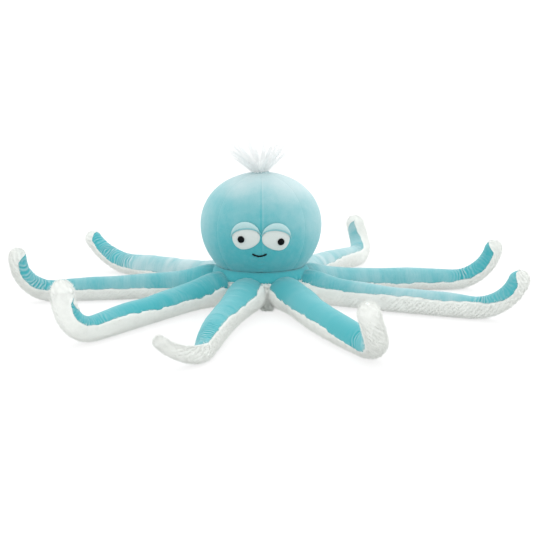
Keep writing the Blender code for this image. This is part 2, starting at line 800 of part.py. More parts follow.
def along_axis(foot, out, profile, sides):
    """Points and faces turned about a line: each (radius, distance) of the profile is measured from the foot."""
    across = out.cross(Vector((0, 0, 1))).normalized()
    up = across.cross(out)
    points = []
    columns = []
    for radius, distance in profile:
        if radius == 0:
            points.append(foot + out * distance)
            columns.append([len(points) - 1] * sides)
            continue
        first = len(points)
        for k in range(sides):
            turn = math.tau * k / sides
            points.append(foot + out * distance + (across * math.cos(turn) + up * math.sin(turn)) * radius)
        columns.append(list(range(first, first + sides)))
    faces = []
    for here, there in zip(columns, columns[1:] + columns[:1]):
        for k in range(sides):
            corner = (here[k], here[(k + 1) % sides], there[(k + 1) % sides], there[k])
            face = tuple(dict.fromkeys(corner))
            if len(face) > 2:
                faces.append(face)
    return points, faces


def pupil(side, word):
    """A black bead on a shank that goes through the felt and the skin."""
    foot, out = pupil_axis(side)
    seat = FELT + 2 * GAP
    radius = PUPIL_DIAMETER / 2
    shank = SHANK_DIAMETER / 2
    profile = [(0, seat - SHANK_LENGTH), (shank, seat - SHANK_LENGTH), (shank, seat), (radius, seat)]
    for k in range(1, DOME_STEPS):
        turn = math.pi / 2 * k / DOME_STEPS
        profile.append((radius * math.cos(turn), seat + PUPIL_DOME * math.sin(turn)))
    profile.append((0, seat + PUPIL_DOME))
    points, faces = along_axis(foot, out, profile, TURNED_SIDES)
    return node(f"pupil_{word}", points, faces, black_plastic(), HEAD_CENTRE)


def washer_depth():
    """How far below the skin the washer's flat face lies, clear of the skin's flat facets and of its curve."""
    low, high = gore_latitudes()
    column_cut = math.cos(math.pi / (GORES * GORE_COLUMNS))
    row_cut = math.cos((high - low) / GORE_ROWS / 2)
    facet = HEAD_RADIUS * (1 - column_cut * row_cut)
    curve = WASHER_DIAMETER**2 / 8 / HEAD_RADIUS
    return -VELBOA - facet - curve - GAP


def pupil_washer(side, word):
    """The locking washer that holds the shank inside the skin."""
    foot, out = pupil_axis(side)
    outer = WASHER_DIAMETER / 2
    bore = SHANK_DIAMETER / 2 + GAP
    near = washer_depth()
    far = near - WASHER_THICKNESS
    profile = [(bore, near), (bore, far), (outer, far), (outer, near)]
    points, faces = along_axis(foot, out, profile, TURNED_SIDES)
    return node(f"pupil_washer_{word}", points, faces, washer_plastic(), HEAD_CENTRE)


def cutter(name, foot, out, radius, low, high):
    profile = [(0, low), (radius, low), (radius, high), (0, high)]
    points, faces = along_axis(foot, out, profile, TURNED_SIDES)
    tool = node(name, points, faces, black_plastic())
    tool.hide_render = True
    tool.display_type = "WIRE"
    return tool


def cut(target, tool):
    modifier = target.modifiers.new(tool.name, "BOOLEAN")
    modifier.operation = "DIFFERENCE"
    modifier.solver = "EXACT"
    modifier.object = tool


def mouth():
    """A shallow smile of thick thread on the skin."""
    radius = MOUTH_THREAD / 2
    lift = GAP + radius
    centres = []
    for k in range(MOUTH_STEPS + 1):
        share = 2 * k / MOUTH_STEPS - 1
        height = HEAD_CENTRE_HEIGHT - MOUTH_DROP - MOUTH_DEPTH * (1 - share * share)
        skin = facet_point(*face_angles(MOUTH_OFFSET + MOUTH_WIDTH / 2 * share, height))
        centres.append(skin + (skin - HEAD_CENTRE).normalized() * lift)
    points = []
    for k, centre in enumerate(centres):
        ahead = (centres[min(k + 1, MOUTH_STEPS)] - centres[max(k - 1, 0)]).normalized()
        out = (centre - HEAD_CENTRE).normalized()
        side = ahead.cross(out).normalized()
        out = side.cross(ahead)
        for i in range(THREAD_SIDES):
            turn = math.tau * i / THREAD_SIDES
            points.append(centre + (out * math.cos(turn) + side * math.sin(turn)) * radius)
    faces = tube_faces(MOUTH_STEPS + 1, THREAD_SIDES)
    return node("mouth_stitch", points, faces, black_thread(), HEAD_CENTRE)


def build_head():
    nod = empty("head_nod", HEAD_CENTRE)
    gores = [gore(index) for index in range(GORES)]
    filling = head_stuffing()
    pieces = gores + [filling, tuft(), mouth()]
    for side, word, front in ((-1, "right", GORES - 1), (1, "left", 0)):
        foot, out = pupil_axis(side)
        white = eye_white(side, word)
        hole = SHANK_DIAMETER / 2 + SHANK_FIT
        shank_hole = cutter(f"shank_hole_{word}", foot, out, hole, -SHANK_LENGTH - OVERRUN / 2, OVERRUN)
        deep = washer_depth() - WASHER_THICKNESS - GAP
        seat = cutter(f"washer_seat_{word}", foot, out, WASHER_DIAMETER / 2 + GAP, deep, OVERRUN / 2)
        for target in (white, gores[front], filling):
            cut(target, shank_hole)
        cut(filling, seat)
        pieces += [white, eyelid(side, word), pupil(side, word), pupil_washer(side, word)]
    for piece in pieces:
        hang_on(piece, nod)


def build_body():
    body_top()
    body_base()
    body_stuffing()


clear_scene()
build_body()
build_head()
for number in range(len(ARMS)):
    build_arm(number)
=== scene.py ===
# %% [markdown]
# # A stuffed octopus
# A toy like this is a ball of eight cloth gores on a low body, with eight long stuffed arms. Each arm is two
# strips sewn together: short-pile teal cloth on top and curly white fur below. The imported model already
# fixes every size, joint and place, so this script only dresses it. Everything is in metres, with +Z up.

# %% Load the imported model
import itertools
import json
import math

import bpy
import numpy as np
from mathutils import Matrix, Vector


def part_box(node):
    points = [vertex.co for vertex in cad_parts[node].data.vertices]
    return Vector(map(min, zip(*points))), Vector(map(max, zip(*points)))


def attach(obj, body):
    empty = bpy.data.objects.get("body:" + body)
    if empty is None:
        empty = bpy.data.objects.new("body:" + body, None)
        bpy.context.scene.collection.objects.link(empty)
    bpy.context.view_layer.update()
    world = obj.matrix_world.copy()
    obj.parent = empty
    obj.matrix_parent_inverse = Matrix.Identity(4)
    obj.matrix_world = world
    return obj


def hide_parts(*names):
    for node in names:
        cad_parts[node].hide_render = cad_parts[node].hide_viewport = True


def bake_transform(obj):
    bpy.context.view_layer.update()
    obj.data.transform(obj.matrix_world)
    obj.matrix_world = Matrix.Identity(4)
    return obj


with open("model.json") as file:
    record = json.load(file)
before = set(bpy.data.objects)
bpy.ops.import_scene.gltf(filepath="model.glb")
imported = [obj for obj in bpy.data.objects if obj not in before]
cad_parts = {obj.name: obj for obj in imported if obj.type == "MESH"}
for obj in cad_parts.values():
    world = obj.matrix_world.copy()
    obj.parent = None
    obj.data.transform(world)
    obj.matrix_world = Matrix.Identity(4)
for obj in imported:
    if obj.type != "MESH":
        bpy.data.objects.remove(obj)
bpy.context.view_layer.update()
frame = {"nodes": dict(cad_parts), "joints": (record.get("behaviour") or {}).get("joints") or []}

CENTIMETRE = 0.01

# %% [markdown]
# ## Working with whole arrays
# A cloth surface is thousands of points, so each step below works on all of them at once with numpy. Two
# small tools do most of it: a smooth step that blends one value into another, and a value noise that gives
# cloth and fur their unevenness. The noise hashes whole-number lattice corners, so it is the same each run.

# %% Smooth steps and noise
HASH_FACTORS = np.array([73856093, 19349663, 83492791])
HASH_SPREAD = 668265263
HASH_TOP = 65535
LEAST_LENGTH = 1e-12


def ease(values, start, end):
    """0 up to start, 1 from end, and 3u^2 - 2u^3 of the share u between them."""
    share = np.clip((values - start) / (end - start), 0, 1)
    return share * share * (3 - 2 * share)


def bell(values, width):
    """exp(-(x / width)^2): 1 at x = 0, and nearly 0 from two widths away."""
    return np.exp(-(values / width) ** 2)


def noise(points, size, seed):
    """Value noise from -1 to 1: a number at each corner of a lattice, blended by 3u^2 - 2u^3 in between."""
    places = np.asarray(points, float) / size
    cells = np.floor(places).astype(np.int64)
    inside = places - cells
    inside = inside * inside * (3 - 2 * inside)
    total = np.zeros(places.shape[:-1])
    for corner in itertools.product((0, 1), repeat=places.shape[-1]):
        key = ((cells + corner) * HASH_FACTORS[: places.shape[-1]]).sum(-1) + seed * HASH_SPREAD
        key = (key ^ (key >> 13)) * HASH_SPREAD
        value = ((key ^ (key >> 17)) & HASH_TOP) / HASH_TOP * 2 - 1
        weight = np.where(np.array(corner) == 1, inside, 1 - inside).prod(-1)
        total += value * weight
    return total


def unit(vectors):
    """Each vector over its own length, where a vector of no length stays as it is."""
    return vectors / np.maximum(np.linalg.norm(vectors, axis=-1, keepdims=True), LEAST_LENGTH)


trial = noise(np.random.default_rng(1).uniform(-1, 1, (1000, 3)), CENTIMETRE, 1)
print("noise runs from", round(trial.min(), 2), "to", round(trial.max(), 2))

# %% [markdown]
# ## Turning arrays into meshes
# Nearly every piece here is a tube: rings of points along a line, closed at both ends. A head is a tube of
# latitudes, an arm a tube of cross sections, and a felt eye a very flat one. So one helper writes the faces
# of such a grid together with a flat map of it, on which the finishes can be baked later.

# %% Meshes from grids
MAP = "OFBake"
WHOLE_MAP = (0, 0, 1, 1)
LOWER_HALF = (1, 0.5)


def grid_quads(rows, columns, wrap, first=0, cell=WHOLE_MAP):
    """Quads between the neighbours of a grid of points, and the corners of each in the grid's own map."""
    row, column = np.meshgrid(np.arange(rows - 1), np.arange(columns - (not wrap)), indexing="ij")
    row, column = row.ravel(), column.ravel()
    corners = [(row, column), (row, column + 1), (row + 1, column + 1), (row + 1, column)]
    quads = np.stack([first + r * columns + c % columns for r, c in corners], 1)
    left, low, right, high = cell
    across = columns if wrap else columns - 1
    places = [(left + (right - left) * c / across, low + (high - low) * r / (rows - 1)) for r, c in corners]
    return quads, np.stack([np.stack(place, -1) for place in places], 1)


def fan(centre, first, columns, turned, cell=WHOLE_MAP):
    """Triangles from a ring of points to one centre point, mapped as a thin strip of their own."""
    here = np.arange(columns)
    there = (here + 1) % columns
    ring = [first + there, first + here] if turned else [first + here, first + there]
    triangles = np.stack([*ring, np.full(columns, centre)], 1)
    left, low, right, high = cell
    step = (right - left) / columns
    places = [(left + step * here, low + 0 * here), (left + step * (here + 1), low + 0 * here)]
    places = places[::-1] if turned else places
    places.append((left + step * (here + 0.5), high + 0 * here))
    return triangles, np.stack([np.stack(place, -1) for place in places], 1)


def closed_tube(rings, start, end):
    """Points, faces and map of a tube of rings, whose ends close in a fan to a start and an end point."""
    rows, columns = rings.shape[:2]
    points = np.concatenate([rings.reshape(-1, 3), [start, end]])
    parts = [grid_quads(rows, columns, True, 0, (0, 0.02, 1, 0.98))]
    parts.append(fan(rows * columns, 0, columns, True, (0, 0.01, 1, 0.0)))
    parts.append(fan(rows * columns + 1, (rows - 1) * columns, columns, False, (0, 0.99, 1, 1)))
    return points, [faces for faces, _ in parts], [places for _, places in parts]


def enclosed(points, faces):
    """The volume inside a closed mesh, a sum of a . (b x c) / 6, negative where its faces point inwards."""
    total = 0.0
    for group in faces:
        corners = points[group]
        for k in range(1, group.shape[1] - 1):
            sides = np.cross(corners[:, k], corners[:, k + 1])
            total += (corners[:, 0] * sides).sum() / 6
    return total


def mesh_piece(name, points, faces, places, finish, attributes=None):
    """An object of these arrays at the origin, smooth, facing outwards, with its map and attributes."""
    if enclosed(points, faces) < 0:
        faces = [group[:, ::-1] for group in faces]
        places = [group[:, ::-1] for group in places]
    counts = np.concatenate([np.full(len(group), group.shape[1]) for group in faces])
    corners = np.concatenate([group.ravel() for group in faces]).astype(np.int32)
    mesh = bpy.data.meshes.new(name)
    mesh.vertices.add(len(points))
    mesh.vertices.foreach_set("co", points.astype(np.float32).ravel())
    mesh.loops.add(len(corners))
    mesh.loops.foreach_set("vertex_index", corners)
    mesh.polygons.add(len(counts))
    mesh.polygons.foreach_set("loop_start", np.concatenate([[0], np.cumsum(counts)[:-1]]).astype(np.int32))
    mesh.update(calc_edges=True)
    layer = mesh.uv_layers.new(name=MAP)
    flat = np.concatenate([group.reshape(-1, 2) for group in places])
    layer.data.foreach_set("uv", flat.astype(np.float32).ravel())
    for key, values in (attributes or {}).items():
        store = mesh.attributes.new(key, "FLOAT", "POINT")
        store.data.foreach_set("value", values.astype(np.float32).ravel())
    mesh.shade_smooth()
    mesh.materials.append(finish)
    mesh.validate()
    piece = bpy.data.objects.new(name, mesh)
    bpy.context.scene.collection.objects.link(piece)
    return piece


# %% [markdown]
# ## Shader maths as sums
# A material is a graph of nodes, but a pattern is easier to read as an expression. `Shade` wraps one output
# socket and turns +, - and * into Math nodes, also the other way round, so that `1 - mask` works. `Finish`
# is one material, and its `node` adds any other node by its type, settings and inputs.


# %% Shade and Finish
class Shade:
    """One output socket of a material, which can be used in sums of numbers."""

    def __init__(self, finish, socket):
        self.finish = finish
        self.socket = socket

    def sum(self, operation, first, second):
        """A Math node of two numbers, each a socket or a plain value."""
        return self.finish.node("ShaderNodeMath", {"operation": operation}, {0: first, 1: second})

    def __add__(self, other):
        return self.sum("ADD", self, other)

    def __sub__(self, other):
        return self.sum("SUBTRACT", self, other)

    def __rsub__(self, other):
        return self.sum("SUBTRACT", other, self)

    def __mul__(self, other):
        return self.sum("MULTIPLY", self, other)

    __radd__ = __add__
    __rmul__ = __mul__


class Finish:
    """A Principled material that is being written."""

    def __init__(self, name, roughness, **fixed):
        self.material = bpy.data.materials.new(name)
        self.material.use_nodes = True
        self.shader = self.material.node_tree.nodes["Principled BSDF"]
        self.shader.inputs["Roughness"].default_value = roughness
        for key, value in fixed.items():
            self.shader.inputs[key.replace("_", " ").title()].default_value = value

    def node(self, kind, settings=None, inputs=None, output=0):
        """Adds a node, sets its settings first, then its inputs as values or links, and gives one output."""
        made = self.material.node_tree.nodes.new(kind)
        for key, value in (settings or {}).items():
            setattr(made, key, value)
        for key, value in (inputs or {}).items():
            self.feed(made.inputs[key], value)
        return Shade(self, made.outputs[output])

    def feed(self, socket, value):
        """Links a Shade to an input, or writes a plain value into it."""
        if isinstance(value, Shade):
            self.material.node_tree.links.new(value.socket, socket)
        else:
            socket.default_value = value

    def drive(self, name, value):
        """Feeds one of the shader's own inputs."""
        self.feed(self.shader.inputs[name], value)

    def place(self):
        """The point on the surface, in metres."""
        return self.node("ShaderNodeTexCoord", output="Object")

    def speckle(self, size, detail=2.0, stretch=None):
        """Noise from 0 to 1 with grains of this size, drawn out along an axis if stretch says so."""
        vector = self.place()
        if stretch:
            vector = self.node("ShaderNodeMapping", None, {"Vector": vector, "Scale": stretch})
        inputs = {"Vector": vector, "Scale": 1 / size, "Detail": detail}
        return self.node("ShaderNodeTexNoise", {"noise_dimensions": "3D"}, inputs)

    def between(self, share, first, second):
        """A colour from first to second by a share."""
        settings = {"data_type": "RGBA", "clamp_factor": True}
        inputs = {0: share}
        for slot, colour in ((6, first), (7, second)):
            inputs[slot] = colour if isinstance(colour, Shade) else (*colour, 1.0)
        return self.node("ShaderNodeMix", settings, inputs, output=2)

    def bump(self, height, depth, strength=1.0):
        """A normal that is tilted as if the surface rose by height times depth."""
        inputs = {"Height": height, "Distance": depth, "Strength": strength}
        return self.node("ShaderNodeBump", None, inputs)


# %% [markdown]
# ## The finishes
# Velboa is a knit with a pile under a millimetre long. It looks deep teal straight on and pale at a slant,
# because the fibres' ends scatter the light: that is what the sheen does. Hands and sewing leave its nap
# lying in soft patches. Painted sheen and painted shade are also mixed into its colour: paler tops, edges
# and fold ridges, darker fold valleys. Fur is the same fibre, white and long, and is painted darker down
# between the tufts and at the locks' roots, as painted shade.

# %% Cloth and fur materials
TEAL = (0.048, 0.376, 0.421)
# The pale teal stands both for brushed nap and for painted sheen on tops, edges and fold ridges.
TEAL_PALE_NAP_AND_SHEEN = (0.450, 0.585, 0.605)
# Painted shade: the backing and the locks' roots are mixed toward this dark colour.
FUR_PAINTED_SHADE = (0.40, 0.45, 0.42)
FUR_TIP = (0.95, 0.97, 0.94)
SHEEN_TINT = (0.92, 1.0, 1.0, 1.0)
PILE_GRAIN = 0.0009
NAP_PATCH = 0.012
FUR_TUFT = 0.006
FUR_CURL = 0.0016
HAIR_STRAND = 0.002
# The roots are painted paler than the tips: painted light against the shade deep in the tuft.
HAIR_ROOT = (0.95, 0.975, 0.975)
HAIR_TIP = (0.86, 0.87, 0.87)
HAIR_GLOW = 0.10
NAP_PATCH_SHARE = 0.24
PILE_GRAIN_SHARE = 0.30


def velboa():
    """Short pile, paled by the attribute (nap patches plus painted sheen and shade), with fibre ends as a
    fine grain.
    """
    cloth = Finish("teal_velboa", 0.9, sheen_weight=0.4, sheen_roughness=0.5)
    cloth.shader.inputs["Sheen Tint"].default_value = SHEEN_TINT
    cloth.shader.inputs["Specular IOR Level"].default_value = 0.2
    patches = cloth.speckle(NAP_PATCH, 3.0)
    grain = cloth.speckle(PILE_GRAIN, 1.0)
    paleness = cloth.node("ShaderNodeAttribute", {"attribute_name": "nap"}, output=2)
    share = paleness + (patches - 0.5) * NAP_PATCH_SHARE + (grain - 0.5) * PILE_GRAIN_SHARE
    cloth.drive("Base Color", cloth.between(share, TEAL, TEAL_PALE_NAP_AND_SHEEN))
    cloth.drive("Normal", cloth.bump(grain + patches * 0.4, 0.0004, 0.5))
    return cloth.material


def curly_fur():
    """Fur fibre: painted shade, grey-green, at the backing and the locks' roots, white at the tips, uneven
    from tuft to tuft.
    """
    fur = Finish("white_fur", 0.95, sheen_weight=0.35, sheen_roughness=0.5)
    tip = fur.node("ShaderNodeAttribute", {"attribute_name": "tip"}, output=2)
    tufts = fur.speckle(FUR_TUFT, 2.0)
    share = tip * 0.90 + tufts * 0.20
    fur.drive("Base Color", fur.between(share, FUR_PAINTED_SHADE, FUR_TIP))
    fur.drive("Normal", fur.bump(fur.speckle(FUR_CURL), 0.0005, 0.5))
    return fur.material


def long_hair():
    """White pile hair, painted paler at the roots against the tuft's shade; a faint glow stands for light
    scattered between hairs.
    """
    hair = Finish("long_hair", 0.6, sheen_weight=0.2)
    hair.shader.inputs["Emission Color"].default_value = (0.96, 1.0, 1.0, 1.0)
    hair.shader.inputs["Emission Strength"].default_value = HAIR_GLOW
    tip = hair.node("ShaderNodeAttribute", {"attribute_name": "tip"}, output=2)
    strands = hair.speckle(HAIR_STRAND, 1.0)
    hair.drive("Base Color", hair.between(tip * 0.8 + strands * 0.3, HAIR_ROOT, HAIR_TIP))
    return hair.material


VELBOA = velboa()
FUR = curly_fur()
HAIR = long_hair()

# %% [markdown]
# ## The small finishes
# Felt is pressed fibre that lies every way, so noise without a direction suits it. Satin is woven so finely
# that little but its shine shows. Bead plastic is moulded, dark and nearly even. Embroidery thread is
# twisted from strands, which bands across it show.

# %% Felt, satin, beads and thread
FELT_FIBRE = 0.0012
SATIN_WEAVE = 0.0011
FLOW_MARK = 0.004
THREAD_TWIST = 450
PLASTIC_SHINE = 0.06
THREAD_SHINE = 0.1


def felt():
    """Pressed white fibres: fine random speckle, no direction."""
    cloth = Finish("white_felt", 0.95, sheen_weight=0.15)
    fibres = cloth.speckle(FELT_FIBRE, 4.0)
    cloth.drive("Base Color", cloth.between(fibres, (0.57, 0.61, 0.59), (0.67, 0.71, 0.69)))
    cloth.drive("Normal", cloth.bump(fibres, 0.0003, 0.5))
    return cloth.material


def satin():
    """Smooth pale cloth with a soft shine, and a weave too fine to see that catches light as a thin bump."""
    cloth = Finish("lid_satin", 0.38, sheen_weight=0.3, sheen_roughness=0.3)
    weave = cloth.speckle(SATIN_WEAVE, 1.0, (1, 1, 3))
    cloth.drive("Base Color", cloth.between(weave, (0.35, 0.54, 0.55), (0.45, 0.64, 0.65)))
    cloth.drive("Normal", cloth.bump(weave, 0.0002, 0.4))
    return cloth.material


def moulded(name, dark, light, roughness):
    """Moulded plastic: nearly even, with faint flow marks in colour and roughness."""
    plastic = Finish(name, roughness)
    plastic.shader.inputs["Specular IOR Level"].default_value = PLASTIC_SHINE
    marks = plastic.speckle(FLOW_MARK, 3.0)
    plastic.drive("Base Color", plastic.between(marks, dark, light))
    plastic.drive("Roughness", marks * 0.08 + roughness)
    return plastic.material


def thread():
    """Black embroidery thread: twisted strands as diagonal bands."""
    twist = Finish("black_thread", 0.75)
    twist.shader.inputs["Specular IOR Level"].default_value = THREAD_SHINE
    settings = {"bands_direction": "DIAGONAL"}
    bands = twist.node("ShaderNodeTexWave", settings, {"Vector": twist.place(), "Scale": THREAD_TWIST})
    twist.drive("Base Color", twist.between(bands, (0.002, 0.003, 0.004), (0.010, 0.012, 0.014)))
    twist.drive("Normal", twist.bump(bands, 0.0002, 0.7))
    return twist.material


FELT = felt()
SATIN = satin()
BEAD = moulded("black_plastic", (0.002, 0.003, 0.004), (0.004, 0.006, 0.007), 0.26)
WASHER = moulded("washer_plastic", (0.70, 0.70, 0.67), (0.78, 0.78, 0.75), 0.4)
THREAD = thread()
print("finishes:", sorted(material.name for material in bpy.data.materials))

# %% [markdown]
# ## The line of an arm
# An arm leaves the body level, sweeps a little to one side, and its tip curls up. Its line is worked out by
# adding up small steps along a heading and a pitch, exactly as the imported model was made, so each arm lies
# where its joint and its weight are. The table holds what differs from arm to arm.

# %% Arm sizes
FLOOR_FLAT = 0.0005
ROOT_HEIGHT = 0.0490
ROOT_WIDTH = 0.0610
MID_HEIGHT = 0.0430
MID_WIDTH = 0.0445
TIP_THICKNESS = 0.0380
TAPER_LENGTH = 0.190
BEND_LENGTH = 0.100
ARM_LENGTH = 0.400
CURL_LENGTH = 0.110
ROOT_BALL = ROOT_HEIGHT / 2
SHOULDER_RISES = (0.0078, 0.0120, 0.0115, 0.0110, 0.0110, 0.0130, 0.0115, 0.0078)
SHOULDER_LENGTH = 0.040
SHOULDER_WIDTH = 0.0040
LEAST_SHARE = 0.3
LINE_STEPS = 1200
END_RINGS = 12

ARMS = [
    dict(length_share=1.136, curl_share=1.36, mid_share=1.12, tip_share=0.84, bend=-18, sweep=15,
         curl=103, roll=10, tip_roll=42),
    dict(length_share=1.020, curl_share=1.11, mid_share=0.98, tip_share=0.88, bend=-8, sweep=9,
         curl=83, roll=-29, tip_roll=16),
    dict(length_share=1.000, curl_share=1.12, mid_share=0.97, tip_share=0.88, bend=-3, sweep=-15,
         curl=93, roll=0, tip_roll=16),
    dict(length_share=0.994, curl_share=1.17, mid_share=1.06, tip_share=0.98, bend=6, sweep=-19,
         curl=123, roll=0, tip_roll=-49),
    dict(length_share=0.969, curl_share=1.36, mid_share=1.11, tip_share=0.86, bend=16, sweep=-3,
         curl=46, roll=0, tip_roll=10),
    dict(length_share=0.999, curl_share=1.12, mid_share=1.02, tip_share=0.82, bend=18, sweep=-3,
         curl=110, roll=11, tip_roll=-19),
    dict(length_share=1.065, curl_share=1.19, mid_share=1.05, tip_share=0.94, bend=22, sweep=0,
         curl=104, roll=10, tip_roll=-5),
    dict(length_share=1.027, curl_share=0.92, mid_share=1.00, tip_share=0.50, bend=0, sweep=8,
         curl=104, roll=10, tip_roll=65),
]

# %% Arm line and section


def joint_place(name):
    """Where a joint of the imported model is."""
    return np.array(next(joint["pos_m"] for joint in frame["joints"] if joint["name"] == name))


class ArmShape:
    """One arm's line with its frame at any length from the pivot, as arrays."""

    def __init__(self, number):
        arm = ARMS[number]
        self.pivot = joint_place(f"arm_{number + 1}_lift")
        self.azimuth = math.atan2(self.pivot[1], self.pivot[0])
        self.number = number
        self.length = ARM_LENGTH * arm["length_share"]
        self.curl_length = CURL_LENGTH * arm["curl_share"]
        self.curl_start = self.length - self.curl_length
        self.tip_ball = TIP_THICKNESS * arm["tip_share"] / 2
        self.arm = arm
        steps = np.linspace(0, self.length, LINE_STEPS)
        ahead = self.headings(steps)[0]
        strides = (ahead[1:] + ahead[:-1]) / 2 * (steps[1] - steps[0])
        self.steps = steps
        self.line = np.concatenate([np.zeros((1, 3)), np.cumsum(strides, 0)])

    def headings(self, along):
        """The way ahead and to the left: bend and sweep ease in, then the curl turns up or aside."""
        arm = self.arm
        along = np.maximum(along, 0)
        curl = math.radians(arm["curl"]) * np.maximum(0, along - self.curl_start) / self.curl_length
        tip_roll = math.radians(arm["tip_roll"])
        heading = self.azimuth + math.radians(arm["bend"]) * ease(along, 0, BEND_LENGTH)
        heading = heading + math.radians(arm["sweep"]) * ease(along, 0, self.curl_start)
        heading = heading - curl * math.sin(tip_roll)
        pitch = curl * math.cos(tip_roll)
        level = np.stack([np.cos(heading), np.sin(heading), 0 * heading], -1)
        up = np.array([0.0, 0.0, 1.0])
        ahead = level * np.cos(pitch)[..., None] + up * np.sin(pitch)[..., None]
        left = np.stack([-np.sin(heading), np.cos(heading), 0 * heading], -1)
        return ahead, left

    def half_sizes(self, along):
        """Half height and width, eased from root to tip and rounded at the ends; half height unrounded."""
        mid_share = self.arm["mid_share"]
        middles = (MID_HEIGHT * (1 + mid_share) / 2, MID_WIDTH * mid_share)
        taper = ease(along, 0, TAPER_LENGTH)
        late = ease(along, TAPER_LENGTH, self.length)
        sizes = []
        for root, middle in zip((ROOT_HEIGHT, ROOT_WIDTH), middles):
            sizes.append((root + (middle - root) * taper + (2 * self.tip_ball - middle) * late) / 2)
        into_root = np.clip(-along / ROOT_BALL, 0, 1)
        into_tip = np.clip((along - self.length) / self.tip_ball + 1, 0, 1)
        rounded = np.sqrt(1 - into_root**2) * np.sqrt(1 - into_tip**2)
        return sizes[0] * rounded, sizes[1] * rounded, sizes[0]

    def frame(self, along):
        """Centre, ahead, upper, left, half height and half width at these lengths."""
        ahead, left = self.headings(along)
        upper = np.cross(ahead, left)
        roll = self.arm["roll"] * ease(along, 0, TAPER_LENGTH)
        roll = roll + (self.arm["tip_roll"] - self.arm["roll"]) * ease(along, self.curl_start, self.length)
        turn = np.radians(roll)[..., None]
        upper, left = upper * np.cos(turn) - left * np.sin(turn), left * np.cos(turn) + upper * np.sin(turn)
        height, width, open_height = self.half_sizes(along)
        centre = np.stack([np.interp(along, self.steps, self.line[:, k]) for k in range(3)], -1)
        centre = centre + ahead * np.minimum(along, 0)[..., None] + [self.pivot[0], self.pivot[1], 0]
        centre[..., 2] += open_height - FLOOR_FLAT
        return centre, ahead, upper, left, height, width

    def stations(self, count):
        """Lengths from the root's end to the tip's, evenly, then closer together where each end closes."""
        straight = np.linspace(0, self.length - self.tip_ball, count)
        ends = np.linspace(0, 1, END_RINGS + 2)[1:-1]
        root = -ROOT_BALL * np.sin(np.pi / 2 * ends[::-1])
        tip = self.length - self.tip_ball + self.tip_ball * np.sin(np.pi / 2 * ends)
        return np.concatenate([root, straight, tip])

    def section(self, along, angle, inset):
        """Points of ellipses: a length, an angle from the upper side's middle, an inset from the outline."""
        centre, _, upper, left, height, width = self.frame(along)
        tall = np.maximum(height[..., None] - inset, height[..., None] * LEAST_SHARE)
        wide = np.maximum(width[..., None] - inset, width[..., None] * LEAST_SHARE)
        at_root = (bell(along, SHOULDER_LENGTH) * ease(along, -ROOT_BALL, -0.4 * ROOT_BALL))[..., None]
        tall = tall + np.where(np.cos(angle) > 0, SHOULDER_RISES[self.number], 0) * at_root
        wide = wide + SHOULDER_WIDTH * at_root
        across = upper[..., None, :] * (tall * np.cos(angle))[..., None]
        across = across + left[..., None, :] * (wide * np.sin(angle))[..., None]
        return centre[..., None, :] + across


SHAPES = [ArmShape(number) for number in range(len(ARMS))]
for shape in SHAPES:
    low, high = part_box(f"arm_{shape.number + 1}_under_panel")
    ends = shape.frame(np.array([shape.length]))[0][0]
    outside = max(0.0, *[max(low[k] - ends[k], ends[k] - high[k]) for k in range(3)])
    print(f"arm {shape.number + 1}: {shape.length * 100:.1f} cm, tip {outside * 1000:.1f} mm outside its box")

# %% [markdown]
# ## Where the two strips of an arm meet
# The teal strip covers a little more than the upper half of an arm. It starts narrow between the arms,
# where fur rises from the body's underside, and ends before the tip, where the fur wraps round. Each
# seam was guided by hand, so each has its own course and wavers by a millimetre, and stuffing twists it.

# %% The seams between teal and fur
PLAIN_SEAM = ((0.0, 62), (0.12, 84), (0.25, 98), (0.80, 98), (1.0, 60))
LEFT_SEAMS = {
    4: ((0.0, 96), (0.60, 102), (0.77, 100), (0.85, 84), (1.0, 74)),
    5: ((0.0, 88), (0.40, 98), (0.62, 90), (0.73, 86), (0.80, 98), (0.87, 108), (1.0, 92)),
    6: ((0.0, 64), (0.12, 84), (0.40, 88), (0.52, 74), (0.70, 70), (0.80, 86), (0.87, 114), (1.0, 90)),
    7: ((0.0, 46), (0.10, 64), (0.32, 71), (0.50, 60), (0.70, 52), (0.77, 38), (0.84, 12), (1.0, -60)),
    3: ((0.0, 90), (0.85, 90), (1.0, 40)),
}
RIGHT_SEAMS = {
    0: ((0.0, 60), (0.09, 82), (0.20, 84), (0.31, 72), (0.47, 70), (0.61, 82), (0.70, 97), (0.82, 108),
        (1.0, 100)),
    1: ((0.0, 60), (0.12, 74), (0.35, 88), (0.60, 90), (0.74, 76), (0.81, 90), (0.88, 104), (1.0, 104)),
    2: ((0.0, 52), (0.14, 74), (0.24, 88), (0.40, 102), (0.60, 99), (0.75, 88), (0.83, 94), (1.0, 84)),
    3: ((0.0, 96), (0.38, 82), (0.50, 65), (0.70, 48), (0.81, 28), (0.92, 4), (1.0, -10)),
    6: ((0.0, 70), (0.25, 98), (0.73, 98), (0.81, 30), (0.86, -40), (0.92, -90)),
    7: ((0.0, 80), (0.20, 98), (0.80, 98), (1.0, 90)),
}
TIP_FUR_LENGTHS = (0.012, 0.000, 0.003, 0.012, 0.012, 0.006, 0.016, 0.010)
TONGUE_ROUNDING = 0.017
SEAM_WAVER = 3.4
SEAM_STEP = 10
SEAM_BLUR = (-0.03, -0.01, 0.01, 0.03)
FUR_THICKNESS = 0.0050


